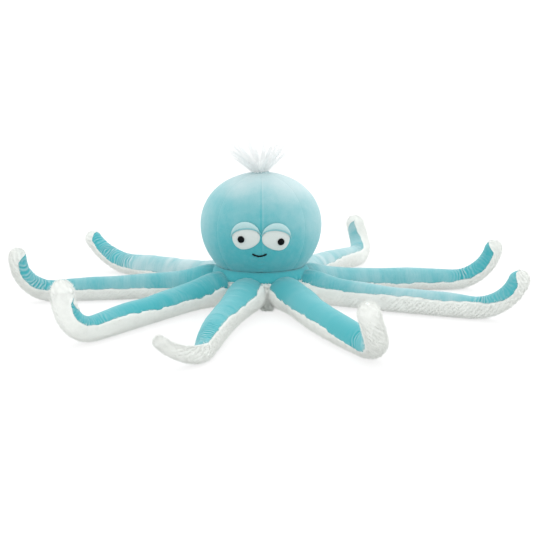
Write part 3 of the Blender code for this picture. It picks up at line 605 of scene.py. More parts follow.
def seam_turn(shape, along, side):
    """Degrees of teal from the upper middle to the left (1) or right (-1) seam, which closes at the tip."""
    course = (LEFT_SEAMS if side > 0 else RIGHT_SEAMS).get(shape.number, PLAIN_SEAM)
    shares, turns = np.array(course, float).T
    share = along / shape.length
    half = sum(np.interp(share + shift, shares, turns) for shift in SEAM_BLUR) / len(SEAM_BLUR)
    from_tip = shape.length - along
    half = half * np.sqrt(np.clip((from_tip - TIP_FUR_LENGTHS[shape.number]) / TONGUE_ROUNDING, 0, 1))
    key = np.stack([along, 0 * along + side], -1)
    waver = noise(key, 0.013, 31 + shape.number) + 0.7 * noise(key, 0.0055, 57 + shape.number)
    return half + SEAM_WAVER * waver


halfway = [float(seam_turn(shape, np.array([shape.length / 2]), 1)[0]) for shape in SHAPES]
print("degrees of teal on the left, halfway along:", [round(turn) for turn in halfway])

# %% [markdown]
# ## The teal side of an arm
# The stuffed core is a closed tube, whose upper part shows as the teal strip. Stuffing is never quite even,
# so the tube swells and narrows a little. Where the arm curls, its cloth has too much length on the inside
# and gathers in sharp cross folds: rounded ridges with narrow valleys, the square root of a sine wave. The
# folds are also painted into the colour: a painted highlight on each ridge, painted shade in each valley,
# and painted light and shade over the waves.

# %% Folds of the teal cloth, with their painted light and shade, and its nap
FOLD_DEPTH = 0.0022
WAVE_DEPTH = 0.0010
FINE_DEPTH = 0.00025
STUFFING_UNEVENNESS = 0.0009
ROOT_PLEAT_DEPTH = 0.0008
ROOT_PLEATS = 19
FOLD_SHARPNESS = 0.5
FOLD_WARP = 1.5
WARP_SIZE = 0.016
SMALL_WARP_SIZE = 0.007
FINE_PITCH = 0.0062
FINE_WARP = 2.2
FOLD_RAMP = 0.015
CREASE_WIDTH = 0.012
BREAK_SIZE = 0.0075
BREAK_SHARE = 0.55
STRENGTH_SIZE = 0.024
MOST_STRENGTH = 1.3
WAVE_SIZE = 0.013
PLEAT_REACH = 0.013
# Painted light and shade of the folds, as shares of the way to the pale teal or back from it.
RIDGE_FROM = 0.84
RIDGE_PAINTED_HIGHLIGHT = 0.45
VALLEY_PAINTED_SHADE = 0.35
WAVE_PAINTED_SHADING = 0.35
FINE_PAINTED_SHADING = 0.06
PATCH_SIZE = 0.034
PATCH_PALE = 0.16
SMALL_PATCH_SIZE = 0.011
SMALL_PATCH_PALE = 0.10
STREAK_SIZE = 0.0030
STREAK_PALE = 0.05
GIRTH = 0.016
ROWS_PER_METRE = 1150
CORE_COLUMNS = 64

# Sizes and pitches are in metres, and what is called pale is a share of the way to the pale teal.
# For each arm: the folds' pitch, their share of the depth where the curl starts and along the curl, where
# they are deepest behind its start, how far before it they begin, the share of the waves on the straight
# stretch, and how pale the cloth is painted at the root, in the middle and in the curl: a painted sheen,
# palest on the arms at the back.
CLOTH = [
    dict(pitch=0.0085, start=0.9, curl=0.20, crease=0.010, before=0.02, waves=0.20, nap=(-0.10, -0.10, 0.02)),
    dict(pitch=0.0072, start=1.3, curl=0.25, crease=0.029, before=0.02, waves=0.25, nap=(0.16, 0.52, 0.10)),
    dict(pitch=0.0078, start=1.9, curl=0.30, crease=0.028, before=0.02, waves=0.30, nap=(0.50, 0.32, 0.06)),
    dict(pitch=0.0056, start=0.9, curl=0.80, crease=0.020, before=0.02, waves=0.70, nap=(0.84, 0.66, 0.54)),
    dict(pitch=0.0066, start=1.3, curl=1.15, crease=0.025, before=0.03, waves=0.90, nap=(1.00, 0.70, 0.06)),
    dict(pitch=0.0086, start=1.1, curl=1.00, crease=0.040, before=0.02, waves=0.15, nap=(0.24, 0.30, 0.14)),
    dict(pitch=0.0070, start=0.8, curl=0.70, crease=0.040, before=0.03, waves=0.18, nap=(0.10, -0.02, -0.02)),
    dict(pitch=0.0058, start=0.9, curl=0.95, crease=0.000, before=0.13, waves=0.30, nap=(0.06, -0.02, 0.04)),
]
NAP_PLACES = (0.05, 0.40, 0.62, 0.74)


def cross_folds(shape, along, angle):
    """Depth below the smooth outline, sqrt(|sin|) ridges with waves and pleats, and their painted shading."""
    cloth = CLOTH[shape.number]
    rows = along[:, None] + 0 * angle
    key = np.stack([rows, angle * GIRTH], -1)
    warp = noise(key, WARP_SIZE, 5 + shape.number) * 0.5
    warp = warp + noise(key, SMALL_WARP_SIZE, 11 + shape.number) * 0.22
    ridge = np.abs(np.sin(np.pi * (rows / cloth["pitch"] + warp * FOLD_WARP))) ** FOLD_SHARPNESS
    in_curl = ease(along, shape.curl_start - cloth["before"], shape.curl_start + FOLD_RAMP)
    in_curl = in_curl * (1 - 0.5 * ease(along, shape.length - 0.05, shape.length - 0.012))
    crease = bell(along - shape.curl_start - cloth["crease"], CREASE_WIDTH)
    share = cloth["curl"] * in_curl + cloth["start"] * crease
    broken = noise(key * [1, 2.2], BREAK_SIZE, 19 + shape.number) * BREAK_SHARE
    strength = share[:, None] * (0.75 + 0.4 * noise(key, STRENGTH_SIZE, 17 + shape.number) + broken)
    strength = np.clip(strength, 0, MOST_STRENGTH)
    waves = noise(key * [1, 0.5], WAVE_SIZE, 23 + shape.number) * cloth["waves"]
    waves = waves * (1 - 0.6 * in_curl)[:, None]
    fine = np.abs(np.sin(np.pi * (rows / FINE_PITCH + warp * FINE_WARP)))
    pleats = np.cos(ROOT_PLEATS * angle + 2 * noise(key, 0.01, 29)) * 0.5 + 0.5
    pleats = pleats * bell(along - 0.002, PLEAT_REACH)[:, None]
    depth = (1 - ridge) * FOLD_DEPTH * strength - waves * WAVE_DEPTH
    depth = depth + (1 - fine) * FINE_DEPTH + pleats * ROOT_PLEAT_DEPTH
    # Painted highlight on each ridge, painted shade in each valley, and painted shading over waves and fine
    # folds.
    painted_fold_shading = ease(ridge, RIDGE_FROM, 1.0) * strength * RIDGE_PAINTED_HIGHLIGHT - (1 - ridge) * strength * VALLEY_PAINTED_SHADE
    painted_fold_shading = painted_fold_shading + waves * WAVE_PAINTED_SHADING + (fine - 0.6) * FINE_PAINTED_SHADING
    return depth, painted_fold_shading


def arm_nap_and_sheen(shape, along, angle, painted_fold_shading):
    """How pale the cloth is: the arm's painted sheen, nap patches round it, streaks across it, and painted
    fold shading.
    """
    rows = along[:, None] + 0 * angle
    key = np.stack([rows, angle * GIRTH / 2], -1)
    patches = noise(key, PATCH_SIZE, 83 + shape.number) * PATCH_PALE
    patches = patches + noise(key * [1, 0.3], SMALL_PATCH_SIZE, 89 + shape.number) * SMALL_PATCH_PALE
    streaks = noise(key * [1, 0.2], STREAK_SIZE, 97 + shape.number) * STREAK_PALE
    root, middle, curl = CLOTH[shape.number]["nap"]
    # Painted sheen: each arm's cloth is painted paler or darker along its length, palest on the arms at the
    # back.
    arm_painted_sheen = np.interp(along / shape.length, NAP_PLACES, (root, middle, middle, curl))[:, None]
    return np.clip(arm_painted_sheen + (patches + streaks) * (0.5 + arm_painted_sheen) + painted_fold_shading, -0.3, 1)


def arm_core(shape):
    """The stuffed tube of an arm, drawn in where the fur covers it, and its nap with painted sheen and shade.
    """
    along = shape.stations(int(shape.length * ROWS_PER_METRE))
    turn = np.linspace(0, 2 * np.pi, CORE_COLUMNS, endpoint=False)
    angle = np.where(turn > np.pi, turn - 2 * np.pi, turn)[None, :] + 0 * along[:, None]
    smooth = shape.section(along, angle, 0)
    uneven = noise(smooth, 0.045, 3 + shape.number) * STUFFING_UNEVENNESS
    degrees = np.degrees(angle)
    past_left = degrees - seam_turn(shape, along, 1)[:, None]
    past_right = -degrees - seam_turn(shape, along, -1)[:, None]
    under_fur = ease(np.maximum(past_left, past_right), 0, SEAM_STEP)
    depth, painted_fold_shading = cross_folds(shape, along, angle)
    inset = under_fur * (FUR_THICKNESS + 0.0010) + depth * (1 - under_fur) - uneven
    points = shape.section(along, angle, inset)
    points[..., 2] = np.maximum(points[..., 2], FLOOR_FLAT * 2)
    start = shape.frame(np.array([-ROOT_BALL]))[0][0]
    nap = np.append(arm_nap_and_sheen(shape, along, angle, painted_fold_shading), [0, 0])
    return *closed_tube(points, start, points[-1].mean(0)), nap


# %% [markdown]
# ## The fur side of an arm
# Fur would take millions of hairs. At the distance of the picture its look comes from three scales: the
# backing's soft lumps, the tufts' uneven outline, and fine ends that blur the edge. So a lumpy strip of
# backing carries more than ten thousand short tapered locks, each with three sides and a bend.

# %% The fur's backing and its locks
LUMP_SIZE = 0.0060
LUMP_HEIGHT = 0.0003
BACKING_INSET = 0.0010
BACKING_COLUMNS = 30
BACKING_LIGHT = 0.85
LOCKS_PER_ARM = 11600
LOCK_LENGTH = 0.0042
LOCK_WIDTH = 0.00095
LENGTH_RANGE = (0.65, 1.10)
WIDTH_RANGE = (0.7, 1.2)
GUARD_HAIR_SHARE = 0.15
GUARD_LENGTH = 1.35
GUARD_WIDTH = 0.6
SEAM_LEAN = 0.5
SEAM_FRINGE = 5
AHEAD_LEAN = 0.75
CLUMP_SIZE = 0.0065
CLUMP_LEAN = 0.16
LOOSE_LEAN = 0.30
BEND_SIZE = 0.004
CLUMP_BEND = 0.20
LOOSE_BEND = 0.12
TIP_LIGHT = 0.8
LOWEST = 0.0002

# The backing is tucked half a degree into the seam, and the locks start a degree before it.
SEAM_TUCK = 0.5
SEAM_OVERLAP = 1

# Steps that spread points evenly over a square: 1 / g and 1 / g^2, where g^3 = g + 1.
ROOT_SPACING = (0.7548777, 0.5698403)


def strip_shell(outer, inner):
    """A closed shell between an outer and an inner grid of points, with strips that close its four edges."""
    rows, columns = outer.shape[:2]
    rings = np.concatenate([outer, inner[:, ::-1]], 1)
    quads, places = grid_quads(rows, 2 * columns, True, 0, (0, 0.02, 1, 0.48))
    here = np.arange(columns - 1)
    back = 2 * columns - 1 - here
    caps = []
    for first, turned in ((0, True), ((rows - 1) * 2 * columns, False)):
        cap = np.stack([first + here, first + here + 1, first + back - 1, first + back], 1)
        caps.append(cap[:, ::-1] if turned else cap)
    share = here / columns
    step = 1 / columns
    low, high = 0 * share, 0 * share + 0.01
    corners = [(share, low), (share + step, low), (share + step, high), (share, high)]
    cap_places = np.stack([np.stack(corner, -1) for corner in corners], 1)
    return rings.reshape(-1, 3), [quads, *caps], [places, cap_places[:, ::-1], cap_places + [0, 0.49]]


# %% Tapered locks


def locks(roots, way, bend, length, width, rng, first, rows=3, low=0.5, sides=3, taper=1.5):
    """Tapered locks: root + length * (way u + bend u^2) for u from 0 to 1, in rings that close to a point."""
    count = len(roots)
    share = np.linspace(0, 1, rows)[None, :, None]
    line = roots[:, None] + length[:, None, None] * (way[:, None] * share + bend[:, None] * share**2)
    tangent = unit(way[:, None] + 2 * bend[:, None] * share)
    aside = unit(np.cross(tangent, unit(rng.normal(size=(count, 1, 3)))))
    other = np.cross(tangent, aside)
    turn = 2 * np.pi * np.arange(sides)[None, None, :, None] / sides
    thick = width[:, None, None, None] / 2 * (1 - share[..., None] ** taper)
    ring = aside[:, :, None] * np.cos(turn) + other[:, :, None] * np.sin(turn)
    body = (line[:, :, None] + ring * thick)[:, :-1]
    points = np.concatenate([body.reshape(count, -1, 3), line[:, -1:]], 1)
    per_lock = points.shape[1]
    number = np.arange(count)
    start = first + per_lock * number[:, None]
    side = np.arange(sides)[None, :]
    after = (side + 1) % sides
    cells = math.ceil(math.sqrt(count / (1 - low)))
    corner = np.stack([number % cells, number // cells], -1)[:, None, :] / cells + [0, low]

    def at(across, up):
        """The spot on the map at so many sides across and a share up, in each lock's own cell."""
        spot = np.stack([0.1 + 0.8 * across / sides, 0.1 + 0.8 * up + 0 * across], -1)
        return corner + spot / cells

    faces, places = [], []
    for row in range(rows - 2):
        ring_first = start + row * sides
        next_ring = ring_first + sides
        quads = [ring_first + side, ring_first + after, next_ring + after, next_ring + side]
        below, above = row / (rows - 1), (row + 1) / (rows - 1)
        spots = [at(side, below), at(side + 1, below), at(side + 1, above), at(side, above)]
        faces.append(np.stack(quads, -1).reshape(-1, 4))
        places.append(np.stack(spots, -2).reshape(-1, 4, 2))
    last = start + (rows - 2) * sides
    tip = start + per_lock - 1
    triangles = [last + side, last + after, tip + 0 * side]
    below = (rows - 2) / (rows - 1)
    spots = [at(side, below), at(side + 1, below), at(side + 0.5, 1)]
    faces.append(np.stack(triangles, -1).reshape(-1, 3))
    places.append(np.stack(spots, -2).reshape(-1, 3, 2))
    faces.append(start + np.arange(sides)[None, ::-1])
    base = [at(side[:, :1] + k * sides / (2 * sides - 2), 0.05 * (k % 2)) for k in range(sides)]
    places.append(np.concatenate(base, 1))
    tips = np.append(np.repeat(share[0, :-1, 0], sides), 1.0)
    return points.reshape(-1, 3), faces, places, np.tile(tips, count)


# %% Fur of one arm


def three_noises(points, size, seed):
    """A direction that drifts from place to place: one noise for each axis."""
    return np.stack([noise(points, size, seed + k) for k in range(3)], -1)


def fur_backing(shape):
    """The lumpy strip between the two seams, drawn in at its edges, as a closed shell."""
    along = shape.stations(int(shape.length * ROWS_PER_METRE / 3))
    along = along[along > -0.7 * ROOT_BALL]
    share = np.linspace(0, 1, BACKING_COLUMNS)[None, :]
    low_turn = seam_turn(shape, along, 1)[:, None] + SEAM_TUCK
    high_turn = 360 - SEAM_TUCK - seam_turn(shape, along, -1)[:, None]
    angle = np.radians(low_turn + (high_turn - low_turn) * share)
    smooth = shape.section(along, angle, BACKING_INSET)
    lumps = noise(smooth, LUMP_SIZE, 41) + 0.4 * noise(smooth, LUMP_SIZE / 2.3, 43)
    edge = bell(share, 0.03) + bell(1 - share, 0.03)
    inset = BACKING_INSET * (1 - 1.5 * edge) - lumps * LUMP_HEIGHT
    outer = shape.section(along, angle, inset)
    inner = shape.section(along, angle, FUR_THICKNESS)
    for grid in (outer, inner):
        grid[..., 2] = np.maximum(grid[..., 2], FLOOR_FLAT)
    return strip_shell(outer, inner)


def arm_fur(shape):
    """The backing and the locks on it, which lean out, ahead and over the seams, alike within a clump."""
    rng = np.random.default_rng(100 + shape.number)
    points, faces, places = fur_backing(shape)
    even = (np.arange(LOCKS_PER_ARM)[:, None] * ROOT_SPACING) % 1
    grown = -0.2 * ROOT_BALL + (shape.length - 0.0006 + 0.2 * ROOT_BALL) * even[:, 0]
    spread = even[:, 1]
    low_turn = seam_turn(shape, grown, 1) - SEAM_OVERLAP
    high_turn = 360 + SEAM_OVERLAP - seam_turn(shape, grown, -1)
    turn = np.radians(low_turn + (high_turn - low_turn) * spread)[:, None]
    roots = shape.section(grown, turn, BACKING_INSET)[:, 0]
    lump = noise(roots, LUMP_SIZE, 41)
    roots = shape.section(grown, turn, (BACKING_INSET + 0.0004 - lump * LUMP_HEIGHT)[:, None])[:, 0]
    _, ahead, upper, left, height, width = shape.frame(grown)
    out = unit(upper * (np.cos(turn) / height[:, None]) + left * (np.sin(turn) / width[:, None]))
    into_tip = np.clip((grown - shape.length) / shape.tip_ball + 1, 0, 1)[:, None]
    out = unit(out * np.sqrt(1 - into_tip**2 * 0.98) + ahead * into_tip)
    clump = three_noises(roots, CLUMP_SIZE, 61)
    round_it = left * (width[:, None] * np.cos(turn)) - upper * (height[:, None] * np.sin(turn))
    from_left = np.degrees(turn[:, 0]) - low_turn
    from_right = high_turn - np.degrees(turn[:, 0])
    over_seam = (bell(from_right, SEAM_FRINGE) - bell(from_left, SEAM_FRINGE))[:, None] * SEAM_LEAN
    loose = LOOSE_LEAN * rng.normal(size=out.shape)
    way = unit(out + CLUMP_LEAN * clump + AHEAD_LEAN * ahead + over_seam * unit(round_it) + loose)
    bend = CLUMP_BEND * three_noises(roots, BEND_SIZE, 71) + LOOSE_BEND * rng.normal(size=out.shape)
    guard = rng.uniform(0, 1, LOCKS_PER_ARM) < GUARD_HAIR_SHARE
    length = LOCK_LENGTH * rng.uniform(*LENGTH_RANGE, LOCKS_PER_ARM) * np.where(guard, GUARD_LENGTH, 1)
    thickness = LOCK_WIDTH * rng.uniform(*WIDTH_RANGE, LOCKS_PER_ARM) * np.where(guard, GUARD_WIDTH, 1)
    lock_points, lock_faces, lock_places, tips = locks(roots, way, bend, length, thickness, rng, len(points))
    lock_points[:, 2] = np.maximum(lock_points[:, 2], LOWEST + 0.0006 * rng.uniform(0, 1, len(lock_points)))
    # Painted shade: the backing and each lock's root take a darker share of the fur colour than its tip.
    tip = np.concatenate([np.full(len(points), BACKING_LIGHT), TIP_LIGHT + (1 - TIP_LIGHT) * tips])
    return np.concatenate([points, lock_points]), faces + lock_faces, places + lock_places, tip


# %% [markdown]
# ## The arms' pieces
# An arm is sewn into the body's side, and lifting it bends the cloth there. Here each arm's cover and fur
# are built, and the imported panels and stuffing they replace are hidden.


def cross_the_hinge(piece):
    """Bakes the piece's placement into its mesh."""
    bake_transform(piece)


for shape in SHAPES:
    name = f"arm_{shape.number + 1}"
    points, faces, places, nap = arm_core(shape)
    core = mesh_piece(f"{name}_cover", points, faces, places, VELBOA, {"nap": nap})
    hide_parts(f"{name}_top_panel", f"{name}_stuffing")
    points, faces, places, tip = arm_fur(shape)
    fur = mesh_piece(f"{name}_fur", points, faces, places, FUR, {"tip": tip})
    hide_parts(f"{name}_under_panel")
    for piece in (core, fur):
        cross_the_hinge(piece)
    print(name, "cover", len(core.data.polygons), "faces, fur", len(fur.data.polygons), "faces")

# %% [markdown]
# ## The head
# Eight gores make the ball. Stuffing presses each one out between its seams, so every seam is a narrow
# groove in a shallow valley, and its stitches pucker it. The lower half is round about the nod axis, so the
# head can slide in the body's collar. At the crown the cloth is gathered round the hair. The grooves are
# modelled, because a bump in the material would not show at the outline.

# %% Head surface
HEAD_RADIUS = 0.1075
HEAD_TOP_RISE = 0.0915
HEAD_CROWN_POWER = 0.93
HEAD_CENTRE = joint_place("head_nod")
GORES = 8
GROOVE_DEPTH = 0.0004
GROOVE_WIDTH = 0.0010
VALLEY_DEPTH = 0.0005
VALLEY_WIDTH = 0.007
PUCKER_PITCH = 0.0085
PUCKER_SHARE = 0.8
PUCKER_FROM = -0.2
PUCKER_TO = -0.6
CROWN_RADIUS = 0.0128
CROWN_PLEATS = 22
CROWN_PLEAT_DEPTH = 0.0011
CROWN_PLEAT_REACH = 0.010
CROWN_RIM_RISE = 0.0022
CROWN_RIM_WIDTH = 0.0022
HEAD_SWELL = 0.0006
HEAD_SWELL_SIZE = 0.05
HEAD_DIMPLE = 0.00025
HEAD_DIMPLE_SIZE = 0.014


def head_skin(azimuth, latitude, lift=0.0):
    """A ball with a squashed upper half, grooved at eight seams and pleated round the crown."""
    upper = latitude > 0
    rise = np.where(upper, HEAD_TOP_RISE, HEAD_RADIUS)
    out = HEAD_RADIUS * np.cos(latitude) ** np.where(upper, HEAD_CROWN_POWER, 1.0)
    up = rise * np.sin(latitude)
    gore = 2 * np.pi / GORES
    turn = (azimuth + np.pi / 2) / gore
    across = (turn - np.round(turn)) * gore * out
    wave = np.sin(2 * np.pi * latitude * HEAD_RADIUS / PUCKER_PITCH)
    pucker = 1 + PUCKER_SHARE * ease(latitude, PUCKER_FROM, PUCKER_TO) * wave
    depth = GROOVE_DEPTH * bell(across, GROOVE_WIDTH) + VALLEY_DEPTH * pucker * bell(across, VALLEY_WIDTH)
    depth = depth * ease(out, CROWN_RADIUS, 3 * CROWN_RADIUS)
    pleats = (np.cos(CROWN_PLEATS * azimuth) * 0.5 + 0.5) * np.where(upper, 1, 0)
    from_crown = out - CROWN_RADIUS
    depth = depth + CROWN_PLEAT_DEPTH * pleats * bell(from_crown, CROWN_PLEAT_REACH)
    depth = depth - CROWN_RIM_RISE * bell(from_crown, CROWN_RIM_WIDTH) * upper
    level = out / HEAD_RADIUS**2
    normal = unit(np.stack([level * np.cos(azimuth), level * np.sin(azimuth), up / rise**2], -1))
    skin = np.stack([out * np.cos(azimuth), out * np.sin(azimuth), up], -1)
    uneven = HEAD_SWELL * noise(skin, HEAD_SWELL_SIZE, 91)
    uneven = uneven + HEAD_DIMPLE * noise(skin, HEAD_DIMPLE_SIZE, 92)
    return HEAD_CENTRE + skin + normal * (lift - depth + uneven)[..., None]


ball = head_skin(np.linspace(-np.pi, np.pi, 100), np.zeros(100))
print("head width in cm:", round(float(np.ptp(ball[:, 0])) / CENTIMETRE, 1))

# %% Nap of the head and its painted sheen
# Painted sheen: the head is painted paler on its top, its sides, its left and its edges; low down it keeps
# the deep teal.
NAP_LOW = 0.05
SIDES_PAINTED_SHEEN = 0.18
LEFT_PAINTED_SHEEN = 0.18
TOP_PAINTED_SHEEN = 0.71
EDGES_PAINTED_SHEEN = 0.20
SIDES_FROM = 0.095
SIDES_TO = 0.165
TOP_FROM = 0.166
TOP_TO = 0.228
TOP_SLANT = 0.15
TOP_WAVER = 0.009
HEAD_PATCH_PALE = 0.07
HEAD_PATCH_SIZE = 0.042
HEAD_SMALL_PATCH_PALE = 0.03
HEAD_SMALL_PATCH_SIZE = 0.017
HEAD_STREAK_PALE = 0.025
HEAD_STREAK_SIZE = 0.006
# Painted highlight beside the middle seam, and painted shade in its groove.
SEAM_PAINTED_HIGHLIGHT = 0.10
SEAM_HIGHLIGHT_SHIFT = 0.0038
SEAM_HIGHLIGHT_WIDTH = 0.0016
SEAM_PAINTED_SHADE = 0.16
SEAM_SHADE_WIDTH = 0.0013
SEAM_FROM = 0.09
SEAM_TO = 0.12
EDGES_FROM = 0.055
EDGES_TO = 0.105
LEFT_TO = 0.06


def head_nap_and_sheen(skin, azimuth):
    """How pale the cloth is: painted sheen on top, sides and edges, nap streaks down the gores, painted seam
    shading.
    """
    height = skin[..., 2]
    patches = HEAD_PATCH_PALE * noise(skin, HEAD_PATCH_SIZE, 71)
    patches = patches + HEAD_SMALL_PATCH_PALE * noise(skin, HEAD_SMALL_PATCH_SIZE, 73)
    down_gore = np.stack([azimuth * HEAD_RADIUS, height * 0.3], -1)
    streaks = HEAD_STREAK_PALE * noise(down_gore, HEAD_STREAK_SIZE, 77)
    # Painted sheen on the sides, the top, the left and the edges.
    sides = ease(height, SIDES_FROM, SIDES_TO)
    lowered = TOP_SLANT * np.minimum(skin[..., 0], 0)
    top = ease(height + lowered + TOP_WAVER * noise(skin, 0.034, 75), TOP_FROM, TOP_TO)
    # Painted highlight beside the middle seam and painted shade in its groove.
    beside = (azimuth + np.pi / 2) * HEAD_RADIUS
    line = SEAM_PAINTED_HIGHLIGHT * bell(beside - SEAM_HIGHLIGHT_SHIFT, SEAM_HIGHLIGHT_WIDTH)
    line = line - SEAM_PAINTED_SHADE * bell(beside, SEAM_SHADE_WIDTH)
    line = line * ease(height, SEAM_FROM, SEAM_TO)
    edges = ease(np.abs(skin[..., 0]), EDGES_FROM, EDGES_TO)
    left = sides * ease(skin[..., 0], 0, LEFT_TO)
    nap = NAP_LOW + SIDES_PAINTED_SHEEN * sides + TOP_PAINTED_SHEEN * top + LEFT_PAINTED_SHEEN * left + EDGES_PAINTED_SHEEN * edges
    return np.clip(nap + (patches + streaks) * (0.4 + 0.6 * sides) + line, 0, 1)


# %% Head cover
GORE_COLUMNS = 48
DENSE_FROM = 1.2


def head_cover():
    """The closed ball: latitudes from the south pole to the crown, with more columns near each seam."""
    share = np.linspace(-0.5, 0.5, GORE_COLUMNS, endpoint=False)
    share = 0.4 * share + 0.6 * 4 * share**3
    azimuth = ((np.arange(GORES)[:, None] + share[None, :]) * 2 * np.pi / GORES - np.pi / 2).ravel()
    top = math.acos((CROWN_RADIUS / HEAD_RADIUS) ** (1 / HEAD_CROWN_POWER))
    below = np.linspace(-np.pi / 2, DENSE_FROM, 130)[1:]
    latitude = np.concatenate([below, np.linspace(DENSE_FROM, top, 26)[1:]])
    azimuth, latitude = np.meshgrid(azimuth, latitude)
    rings = head_skin(azimuth, latitude, 0 * azimuth)
    south = HEAD_CENTRE - [0, 0, HEAD_RADIUS]
    north = rings[-1].mean(0) - [0, 0, 0.004]
    nap = np.append(head_nap_and_sheen(rings, azimuth), [0, 0])
    return *closed_tube(rings, south, north), nap


points, faces, places, nap = head_cover()
head = mesh_piece("head_cover", points, faces, places, VELBOA, {"nap": nap})
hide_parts(*[f"head_gore_{k}" for k in range(1, GORES + 1)], "head_stuffing")
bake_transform(head)
print("head", len(head.data.polygons), "faces")

# %% [markdown]
# ## The tuft
# The hair is a slip of long-pile fur folded into the crown. It stands dense at its foot and fans out above.
# Hairs alone leave dark gaps at their foot, so they grow round a solid ribbed wedge, which stands for the
# packed pile. The hairs come in clumps that meet at their tips, and a few fly out of their clump.

# %% Hair on the crown
CLUMPS = 24
HAIRS_PER_CLUMP = 30
HAIR_LENGTH = 0.0775
HAIR_WIDTH = 0.0007
HAIR_TAPER = 3.0
TUFT_SHIFT = -0.0030
TUFT_LEAN = -0.05
WEDGE_FOOT = 0.0080
WEDGE_TOP = 0.0145
WEDGE_HEIGHT = 0.0240
WEDGE_RAGGED = 0.16
WEDGE_TEETH = 11
WEDGE_RIBS = 23
WEDGE_RIB_SHARE = 0.05
TUFT_SINK = 0.004
FOOT_SHARE = 0.62
DROOP_OUT = 0.22
DROOP_DOWN = 0.12
DROOP_SCATTER = 0.10
CLUMP_SCATTER = 0.08
ROOT_SCATTER = 0.0016
WAY_SCATTER = 0.09
END_SCATTER = 0.0019
FLYAWAY_SHARE = 0.15
FLYAWAY_REACH = 2.4

# The turn from one seed of a sunflower to the next, in radians.
GOLDEN_TURN = 2.399963


def tuft_wedge(crown):
    """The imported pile: rings that widen by u^1.3 as they rise by u, ribbed round and ragged at the top."""
    spin = np.linspace(0, 2 * np.pi, 72, endpoint=False)
    up = np.linspace(0, 1, 20)[:, None]
    ribs = 1 + WEDGE_RIB_SHARE * np.cos(WEDGE_RIBS * spin)
    radius = (WEDGE_FOOT + (WEDGE_TOP - WEDGE_FOOT) * up**1.3) * ribs
    rise = WEDGE_HEIGHT * up * (1 + WEDGE_RAGGED * np.cos(WEDGE_TEETH * spin) * up)
    rings = np.stack([radius * np.cos(spin), radius * np.sin(spin), rise], -1) + crown
    return closed_tube(rings, crown, crown + [0, 0, WEDGE_HEIGHT * 0.7])


def tuft_hair():
    """Clumps spread over a disc like seeds lean outwards; their hairs part and meet again at the tips."""
    rng = np.random.default_rng(7)
    number = np.arange(CLUMPS)
    turn = number * GOLDEN_TURN
    out = np.sqrt((number + 0.5) / CLUMPS)
    outward = np.stack([np.cos(turn), np.sin(turn), 0 * turn], -1)
    crown = HEAD_CENTRE + [TUFT_SHIFT, 0, HEAD_TOP_RISE - TUFT_SINK]
    foot = crown + outward * (out * CROWN_RADIUS * FOOT_SHARE)[:, None]
    lean = out + CLUMP_SCATTER * rng.normal(size=CLUMPS)
    way = unit(outward * lean[:, None] + [TUFT_LEAN, 0, 1.0])
    droop = outward * (DROOP_OUT * out)[:, None] - [0, 0, DROOP_DOWN] * out[:, None]
    droop = droop + DROOP_SCATTER * rng.normal(size=(CLUMPS, 3))
    reach = HAIR_LENGTH * rng.uniform(0.80, 1.08, CLUMPS)
    end = foot + (way + droop) * reach[:, None]
    hairs = CLUMPS * HAIRS_PER_CLUMP
    clump = np.repeat(number, HAIRS_PER_CLUMP)
    loose = np.where(rng.uniform(0, 1, hairs) < FLYAWAY_SHARE, FLYAWAY_REACH, 1.0)[:, None]
    roots = foot[clump] + ROOT_SCATTER * rng.normal(size=(hairs, 3)) * [1, 1, 0.3]
    ways = unit(way[clump] + WAY_SCATTER * rng.normal(size=(hairs, 3)))
    ends = end[clump] + END_SCATTER * loose * rng.normal(size=(hairs, 3))
    length = reach[clump] * rng.uniform(0.80, 1.0, hairs)
    bend = (ends - roots) / reach[clump][:, None] - ways
    width = HAIR_WIDTH * rng.uniform(0.6, 1.1, hairs)
    wedge, faces, places = tuft_wedge(crown)
    places = [group * LOWER_HALF for group in places]
    hair_points, hair_faces, hair_places, tips = locks(
        roots, ways, bend, length, width, rng, len(wedge), rows=8, taper=HAIR_TAPER)
    tips = np.concatenate([np.zeros(len(wedge)), tips])
    return np.concatenate([wedge, hair_points]), faces + hair_faces, places + hair_places, tips


points, faces, places, tip = tuft_hair()
hair = mesh_piece("tuft_hair", points, faces, places, HAIR, {"tip": tip})
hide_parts("tuft")
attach(hair, "head")
print("tuft", CLUMPS * HAIRS_PER_CLUMP, "hairs,", len(hair.data.polygons), "faces")

# %% [markdown]
# ## The face
# The pieces of a face are cut flat and then lie on the ball. They could be modelled flat and bent over the
# head by a modifier. Here every place is measured on the skin instead, across from the middle seam and up
# from the floor, so each piece follows the ball wherever it is put.

# %% Places on the face
EYE_WIDTH = 0.0490
EYE_GAP = 0.0030
EYE_DROP = 0.0075
EYE_LEFT_DROP = 0.0020
EYE_DEPTH = 0.0212
EYE_UNDER_LID = 0.0030
EYE_FULLNESS = 0.22
EYE_END = 0.16
LID_RIM_RISE = 0.0147
LID_TOP_RISE = 0.0258
LID_END_RISE = 0.0010
LID_SLANT = -7
FELT_THICKNESS = 0.0018
FELT_EDGE = 0.0004
LID_THICKNESS = 0.0038
HEM_RADIUS = 0.0016
LID_HEM_NAP = 0.40
LID_OVERHANG = 1.05


def on_face(across, height, lift):
    """The place on the skin at a distance across the face and a height, raised by the lift."""
    above = height - HEAD_CENTRE[2]
    latitude = np.arcsin(above / np.where(above > 0, HEAD_TOP_RISE, HEAD_RADIUS))
    azimuth = -np.pi / 2 + across / (HEAD_RADIUS * np.cos(latitude))
    return head_skin(azimuth, latitude, lift)


